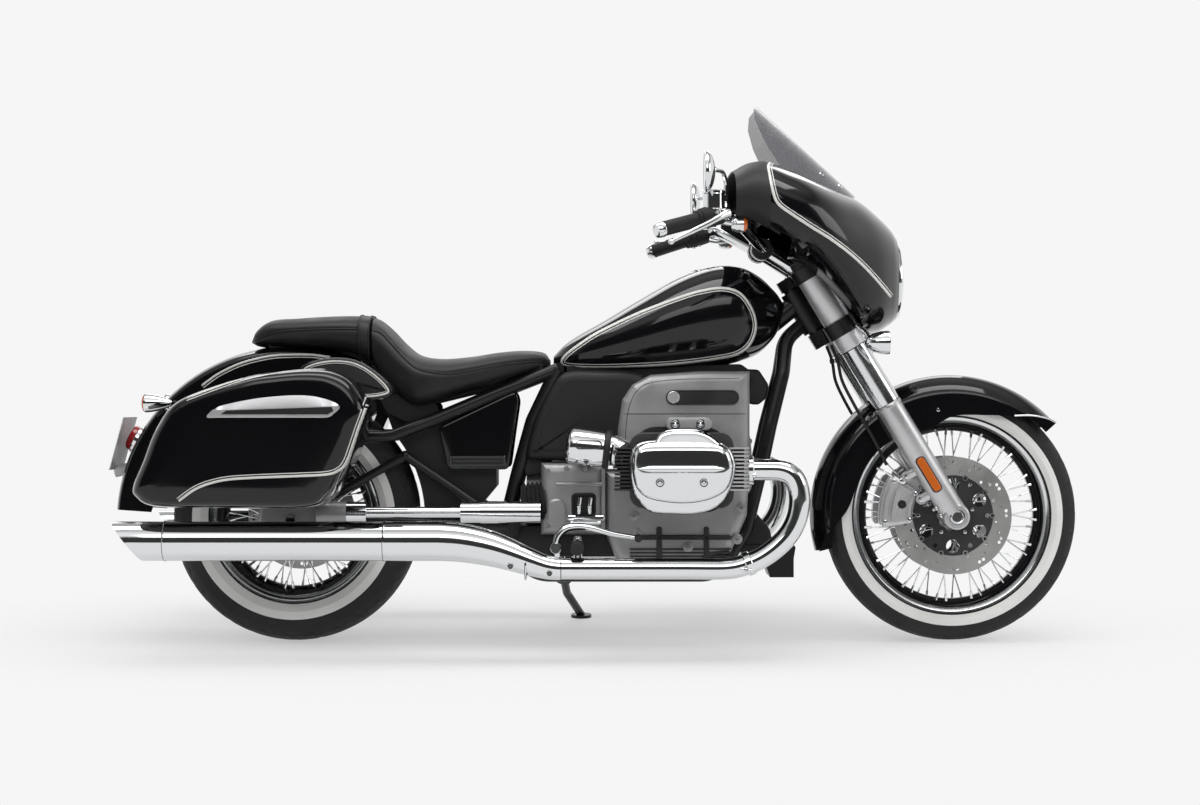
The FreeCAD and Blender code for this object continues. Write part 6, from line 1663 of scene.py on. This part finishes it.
def seam_gap(x, z, path):
    """How far a point seen from the side is from a seam."""
    best = 1e9
    for (x0, z0), (x1, z1) in zip(path, path[1:]):
        dx, dz = x1 - x0, z1 - z0
        share = max(0.0, min(1.0, ((x - x0) * dx + (z - z0) * dz) / (dx * dx + dz * dz)))
        best = min(best, hypot(x - x0 - dx * share, z - z0 - dz * share))
    return best


def cushion(shares, start, bottom, length, height, half_width, seam):
    """A crowned seat whose cover is drawn in along its seams."""
    rows = hull_rows(shares, start + 2, bottom + 2, length - 4, height - 4, half_width - 3, 1.5,
        per=16, count=144)
    path = spline(seam, 4)
    out = []
    for row in rows:
        x = row[0][0]
        low = min(point[2] for point in row)
        high = max(point[2] for point in row)
        half = max(abs(point[1]) for point in row) or 1
        middle = (low + high) / 2
        new = []
        for _, y, z in row:
            lift = (z - middle) / max(high - middle, 1)
            across = abs(y) / half
            crown = 3.0 * max(0.0, lift) * max(0.0, 1 - across ** 2)
            gap = seam_gap(x, z, path)
            groove = 2.6 * exp(-(gap / 5.0) ** 2) if across > 0.5 else 0.0
            pull = 2.2 * exp(-((lift + 0.15) / 0.35) ** 2) * across ** 4
            y = y * (1 - (groove + pull) / half)
            z = z + crown - groove * 0.5 * max(0.0, lift)
            new.append((x, y, z))
        out.append(new)
    return rings(out)


def piping(obj, path, radius, side):
    """A sewn cord that lies on a cover along a seam."""
    tree = surface_of(obj)
    spots = []
    for x, z in spline(path, 8):
        found = on_surface(tree, x, z, side, radius * 0.25)
        if found:
            spots.append(upright(found[0]))
    return tube(spots, radius, 10)


def make_seats():
    pillion_size = {"start": -112, "bottom": 712, "length": 312, "height": 128}
    rider_size = {"start": 203, "bottom": 600, "length": 456, "height": 240}
    pillion = build("pillion_cushion", cushion(PILLION_SHARES, **pillion_size, half_width=145,
        seam=PILLION_SEAM), leather, "chassis", "seat_leather", "passenger_seat", sharp=60)
    rider = build("rider_cushion", cushion(RIDER_SHARES, **rider_size, half_width=175,
        seam=RIDER_SEAM), leather, "chassis", "seat_leather", "rider_seat", sharp=60)
    cords = []
    for side in SIDES.values():
        cords += [piping(pillion, PILLION_SEAM, 2.0, side), piping(rider, RIDER_SEAM, 2.0, side)]
    build("seat_piping", joined(*cords), leather, "chassis", "seat_leather", sharp=60)
    strap_rows = hull_rows(PILLION_SHARES, **pillion_size, half_width=146.5, fullness=1.5, per=24,
        count=144)
    band = [row for row in strap_rows if 171 <= row[0][0] <= 198]
    wide = []
    for row in band:
        wide.append([(x, y * 1.012, z + (3.0 if z > 760 else 0.0)) for x, y, z in row])
    shape = rings(wide, cap_start=False, cap_end=False)
    build("seat_strap", shape, leather, "chassis", "seat_leather", thickness=4.5, sharp=40)
    hems = [tube(row, 2.2, 8, closed=True) for row in (wide[0], wide[-1])]
    build("seat_strap_hems", joined(*hems), leather, "chassis", "seat_leather", sharp=60)


make_seats()

# Side covers with their trim

COVER_SHARES = [(0.0, 0.52), (0.95, 0.97), (1.0, 0.85), (0.94, 0.44), (0.88, 0.0), (0.12, 0.0)]


def make_covers():
    outline = [(372 + u * 206, 445 + v * 210) for u, v in COVER_SHARES]
    outline = rounded(outline, 14)
    panel = stacked(outline, [(-96, 2.0), (-98, 0.4), (-108, 0.4), (-112, 2.0), (-113.5, 5.0)])
    build("side_panels", both(panel), paint, "chassis", "black_paint", "side_covers", sharp=32)
    bar = stacked(round_box(400, 546, 452, 482, 6), [(-112, 0), (-117, 0.6), (-118.5, 2)])
    line = stacked(round_box(408, 538, 465, 469, 2), [(-118, 0), (-120.6, 0.6)])
    dark = stacked(round_box(406, 540, 458, 476, 4), [(-117, 0), (-119, 0.4), (-119.4, 1.4)])
    dressed("side_panel_trim", ([bar, line], [dark]), (chrome, plastic), "chassis", "chrome",
        mirror=True)


def rounded(outline, radius, steps=5):
    """A polygon with its corners rounded."""
    out = []
    count = len(outline)
    for index in range(count):
        before, corner, after = (Vector(outline[index - 1]), Vector(outline[index]),
            Vector(outline[(index + 1) % count]))
        reach = min(radius, (before - corner).length * 0.45, (after - corner).length * 0.45)
        start = corner + (before - corner).normalized() * reach
        end = corner + (after - corner).normalized() * reach
        for step in range(steps + 1):
            share = step / steps
            out.append(tuple(start * (1 - share) ** 2 + corner * 2 * share * (1 - share)
                + end * share ** 2))
    return out


make_covers()

# Black inner panels between the fender, the seat and the rails


def make_inner_panels():
    outline = rounded([(186, 700), (232, 742), (300, 640), (372, 614), (372, 560), (300, 560),
        (236, 590)], 12)
    shape = stacked(outline, [(-84, 0), (-86, 1), (-94, 1), (-96, 3)])
    build("inner_panels", both(shape), plastic, "chassis", "dark_plastic", sharp=32)


make_inner_panels()

# Tail: lamp with its ring, and the signals


def tail_place(turn, out):
    """A place on the rear fender's crown, lifted off it."""
    x, _, z = REAR_FENDER_CENTRE
    angle = radians(turn)
    reach = REAR_FENDER_RADIUS + out
    return Vector((x + reach * cos(angle), 0, z + reach * sin(angle)))


def make_tail():
    base, tip = tail_place(153, -6), tail_place(153, 26)
    spot = about_line(base, tip)
    build("tail_lens", lathe([(6, 1), (6, 33), (26, 33), (31, 29), (33.5, 20), (34, 0.5)], spot,
        64), red_glass, "chassis", "red_lens", "tail_lamp", sharp=40)
    build("tail_lamp_ring", lathe([(-2, 33), (-2, 36.5), (14, 36.5), (16, 34.5), (16, 33)], spot,
        64, closed=True), chrome, "chassis", "chrome")
    lamps, lenses = [], []
    base = tail_place(139, 9.6)
    for side in SIDES.values():
        tail = Vector((base.x, side * 150, base.z))
        line = about_line(tail + Vector((-6, 0, 0)), tail + Vector((-12, 0, 0)))
        lamps.append(lathe([(-64, 1), (-63, 6), (-52, 12), (-34, 18), (-14, 22.6), (0, 24), (4, 24),
            (6, 23), (6, 21)], line, 48))
        lenses.append(lathe([(5, 21.6), (9, 20), (12, 14), (13, 0.5)], line, 48))
        stem_end = Vector((base.x + 70, side * 97, base.z - 24))
        lamps += [
            tube(bent([tail + Vector((30, -side * 12, -4)), tail + Vector((50, -side * 36, -18)),
                stem_end], 20, 8), 8, 18),
            lathe([(-8, 4), (-8, 13), (-5, 15), (0, 15), (0, 4)],
                about_line(stem_end, stem_end + Vector((0.2, -side, -0.1))), 28)]
    dressed("tail_signals", (lamps, lenses), (chrome, amber_glass), "chassis", "chrome",
        "rear_signals", sharp=40)


make_tail()

# Footrests and pedals


def make_footrests():
    rubbers, metals = [], []
    for side in SIDES.values():
        start = Vector((730, side * 240, 256))
        end = Vector((730, side * 345, 256))
        ribs = []
        for step in range(12):
            along = 2 + step * 8.4
            ribs += [(along, 16.9), (along + 4.2, 16.9), (along + 4.8, 14.6), (along + 7.8, 14.6)]
        rubbers.append(lathe([(0, 9), (0, 15)] + ribs + [(103, 16.9), (105, 14), (105, 1)],
            about_line(start, end), 36))
        metals += [
            tube([(730, side * 150, 256), (730, side * 242, 256)], [11, 10.2], 24),
            lathe(mirrored([(10, 1), (10, 15), (7, 18)]), about_x(730, side * 160, 260), 28),
            tube([(730, side * 160, 262), (730, side * 128, 226)], [13, 11.5], 20),
            screw((730, side * 176, 274), (0, side * 0.4, 1), 6, 6)]
    dressed("footrest_pair", (rubbers, metals), (rubber, polished), "chassis", "dark_plastic",
        "footrests")


make_footrests()


def make_foot_levers():
    """Tapered levers with a rubber toe piece."""
    bright, black = [], []
    points = [(677, 256), (681, 282), (700, 303), (730, 309), (769, 305), (820, 291), (881, 281)]
    sizes = [9, 9.5, 9.5, 8.6, 7.8, 6.8, 6]
    line = spline([(x, z, size) for (x, z), size in zip(points, sizes)], 6)
    for side in SIDES.values():
        bright += [
            tube([(x, side * 300, z) for x, z, _ in line], [size for _, _, size in line], 20),
            tube([(677, side * 308, 256), (677, side * 142, 250)], 8.4, 20),
            lathe([(-14, 1), (-14, 12), (-11, 14), (8, 14), (10, 12), (10, 1)],
                about_y(677, side * 300, 256), 28),
            tube([(677, side * 149, 256), (677, side * 132, 180)], 8.4, 16)]
        ribs = []
        for step in range(6):
            ribs += [(2 + step * 8, 9.4), (6 + step * 8, 9.4), (6.6 + step * 8, 8.2),
                (9.4 + step * 8, 8.2)]
        black.append(lathe([(0, 4), (0, 8)] + ribs + [(52, 8), (52, 1)],
            about_line((881, side * 286, 281), (881, side * 340, 281)), 24))
    dressed("foot_lever_pair", (bright, black), (chrome, rubber), "chassis", "chrome",
        "foot_controls", sharp=40)


make_foot_levers()

# Airbox, boot and the black pieces between the engine, the tank and the frame

AIRBOX_OUTLINE = [(597, 470), (602, 520), (622, 585), (652, 646), (680, 690), (716, 699),
    (850, 699), (905, 690), (912, 640), (900, 560), (880, 470), (800, 467), (700, 467)]


def make_airbox():
    outline = rounded(AIRBOX_OUTLINE, 16, 4)
    shape = stacked(outline, [(0, 0), (-92, 0), (-106, 1.5, 0.2), (-115, 5, 0.5), (-121, 11, 0.8),
        (-124, 20, 1)], lambda x, z: 0.02 * max(0, 600 - z), 6)
    build("airbox_cover", both(shape), plastic, "chassis", "dark_plastic", "airbox", sharp=45)
    seam = stacked(grown(outline, -26), [(-117, 0), (-124.6, 0), (-124.6, 1.6), (-117, 1.6)],
        rows_in=1)
    build("airbox_seam", both(seam), plastic, "chassis", "dark_plastic")


# Outline, rounding and the levels that reach out from the middle
INFILL = [
    ([(1150, 704), (1196, 702), (1222, 662), (1216, 628), (1194, 610), (1168, 616), (1164, 690)], 8,
        [(0, 0), (-58, 0), (-62, 2), (-64, 5)]),
    ([(700, 684), (1150, 684), (1172, 700), (1150, 716), (700, 712)], 6,
        [(0, 0), (-64, 0), (-66, 2)]),
    ([(-60, 752), (20, 764), (110, 752), (190, 716), (206, 742), (200, 768), (120, 786), (0, 788),
        (-70, 772)], 8, [(0, 0), (-84, 0), (-90, 3)]),
    ([(330, 606), (560, 662), (640, 700), (640, 716), (560, 690), (440, 668), (330, 640)], 8,
        [(0, 0), (-88, 0), (-92, 2)])]
LOWER_INFILL = [
    ([(560, 300), (700, 306), (850, 306), (850, 222), (650, 222), (560, 258)], 105),
    ([(585, 478), (662, 478), (662, 438), (596, 428)], 90),
    ([(1148, 344), (1188, 334), (1224, 292), (1232, 252), (1148, 236)], 70),
    ([(1216, 189), (1229, 165), (1281, 168), (1294, 246), (1262, 256), (1216, 240)], 38)]
INFILL += [(outline, 8, [(0, 0), (4 - reach, 0), (1 - reach, 1.5), (-reach, 4)])
    for outline, reach in LOWER_INFILL]


def make_infill():
    black = [stacked(rounded(outline, rounding), levels) for outline, rounding, levels in INFILL]
    build("black_infill", both(joined(*black)), plastic, "chassis", "dark_plastic", sharp=32)
    ribs = []
    for step in range(5):
        along = step * 11
        ribs += [(along, 50), (along + 3.5, 54), (along + 7, 50), (along + 9, 45)]
    boot = lathe([(-6, 20), (-6, 46), (-2, 46)] + ribs + [(56, 46), (58, 20)],
        about_line((642, -100, 362), (500, -104, 352)), 48)
    build("shaft_boot", boot, rubber, "chassis", "dark_plastic", sharp=50)


make_airbox()
make_infill()

# Stage: pale floor and world, soft lamps and the camera

BACKGROUND = 0.92
WORLD_LIGHT = 0.42
# Brightness of what glossy surfaces see, by the height of the ray
SKY_STOPS = [(0.0, BACKGROUND), (0.34, BACKGROUND), (0.62, 0.16), (0.8, 0.5)]
NEAR_STOPS = [(0.0, 0.1), (0.1, 0.035), (0.46, 0.05), (0.62, 1.0), (0.85, 0.95), (0.97, 0.5)]
FLOOR_REACH = 40.0
FLOOR_TONE = 0.86
SHADOW_KEPT = 0.5
SHADOW_HALF_SIZES = (1.35, 0.62)
SHADOW_START, SHADOW_END = 0.6, 1.5
# Name, place, target, width, height and power
LAMPS = [
    ("top_light", (0.0, -0.3, 3.3), (0, 0, 0.5), 4.2, 1.3, 74),
    ("near_light", (0.3, -3.6, 3.0), (0, 0, 0.6), 4.5, 1.2, 40),
    ("far_light", (-0.2, 3.6, 2.8), (0, 0, 0.6), 4.0, 1.2, 30),
    ("front_light", (4.0, -1.0, 2.2), (0.6, 0, 0.6), 1.6, 1.6, 18)]
PICTURE_WIDTH = 1200
FOCAL_PIXELS = 2419
SENSOR_WIDTH = 36
CAMERA_DISTANCE = 6300
PICTURE_CENTRE = (786.4, 617)


def tone(value):
    """A shade of grey."""
    return (value, value, value)


def rays(tree, *kinds):
    """One for a camera ray and for a ray of the given kinds, nought for the others."""
    path = add(tree, "LightPath")
    total = path.outputs["Is Camera Ray"]
    for kind in kinds:
        total = add(tree, "Math", {0: total, 1: path.outputs[f"Is {kind} Ray"]},
            operation="MAXIMUM").outputs["Value"]
    return total


def graded(tree, source, stops):
    return ramped(tree, source, [(place, tone(value)) for place, value in stops])


def make_world():
    world = bpy.data.worlds.new("studio")
    bpy.context.scene.world = world
    world.use_nodes = True
    tree = world.node_tree
    light = tree.nodes["Background"]
    plug(tree, light, {"Color": (1, 1, 1, 1), "Strength": WORLD_LIGHT})
    parts = add(tree, "SeparateXYZ", {"Vector": add(tree, "TexCoord").outputs["Generated"]})
    height = parts.outputs["Z"]
    front = ranged(tree, parts.outputs["Y"], 0, 1, -0.05, -0.6, interpolation_type="SMOOTHSTEP")
    blend = add(tree, "Mix", {"Factor": front}, data_type="RGBA")
    plug(tree, blend, {"A": graded(tree, height, SKY_STOPS), "B": graded(tree, height, NEAR_STOPS)})
    plain = add(tree, "Mix", {"Factor": rays(tree, "Transmission"), "A": blend.outputs["Result"],
        "B": (*tone(BACKGROUND), 1)}, data_type="RGBA")
    shown = add(tree, "Background", {"Color": plain.outputs["Result"], "Strength": 1.0})
    mix = add(tree, "MixShader", {"Fac": rays(tree, "Glossy", "Transmission"),
        1: light.outputs["Background"], 2: shown.outputs["Background"]})
    plug(tree, tree.nodes["World Output"], {"Surface": mix.outputs["Shader"]})


def make_floor():
    """A pale floor on which only the shadow under the motorcycle shows."""
    mesh = bpy.data.meshes.new("floor")
    mesh.from_pydata([(x * FLOOR_REACH, y * FLOOR_REACH, 0)
        for x, y in ((-1, -1), (1, -1), (1, 1), (-1, 1))], [], [(0, 1, 2, 3)])
    mat = surface("pale_floor", tone(FLOOR_TONE), roughness=0.9, Specular_IOR_Level=0.1)
    tree = mat.node_tree
    width, depth = SHADOW_HALF_SIZES
    drawn_in = add(tree, "VectorMath", {0: place_of(tree), 1: (1 / width, 1 / depth, 1)},
        operation="MULTIPLY")
    length = add(tree, "VectorMath", {0: drawn_in.outputs["Vector"]}, operation="LENGTH")
    away = ranged(tree, length.outputs["Value"], 1 - SHADOW_KEPT, 1, SHADOW_START, SHADOW_END)
    far = add(tree, "Math", {0: away, 1: rays(tree, "Glossy", "Transmission")},
        operation="MULTIPLY")
    glow = add(tree, "Emission", {"Color": (*tone(BACKGROUND), 1)})
    mix = add(tree, "MixShader", {"Fac": far.outputs["Value"],
        1: tree.nodes["Principled BSDF"].outputs["BSDF"], 2: glow.outputs["Emission"]})
    plug(tree, tree.nodes["Material Output"], {"Surface": mix.outputs["Shader"]})
    mesh.materials.append(mat)
    placed("floor", mesh)


def aimed(obj, place, target):
    """Put an object at a place and turn it towards a target."""
    obj.location = place
    obj.rotation_euler = (Vector(target) - Vector(place)).to_track_quat("-Z", "Y").to_euler()


def softbox(name, place, target, width, height, power):
    lamp = bpy.data.lights.new(name, "AREA")
    lamp.shape = "RECTANGLE"
    lamp.size = width
    lamp.size_y = height
    lamp.energy = power
    aimed(placed(name, lamp), place, target)


def make_camera():
    camera = bpy.data.cameras.new("camera")
    obj = placed("camera", camera)
    x, z = PICTURE_CENTRE
    aimed(obj, at(x, -CAMERA_DISTANCE, z), at(x, 0, z))
    camera.sensor_width = SENSOR_WIDTH
    camera.lens = SENSOR_WIDTH * FOCAL_PIXELS / PICTURE_WIDTH
    camera.clip_end = 100
    bpy.context.scene.camera = obj


make_world()
make_floor()
for lamp in LAMPS:
    softbox(*lamp)
make_camera()
bpy.context.scene.view_settings.view_transform = "Standard"
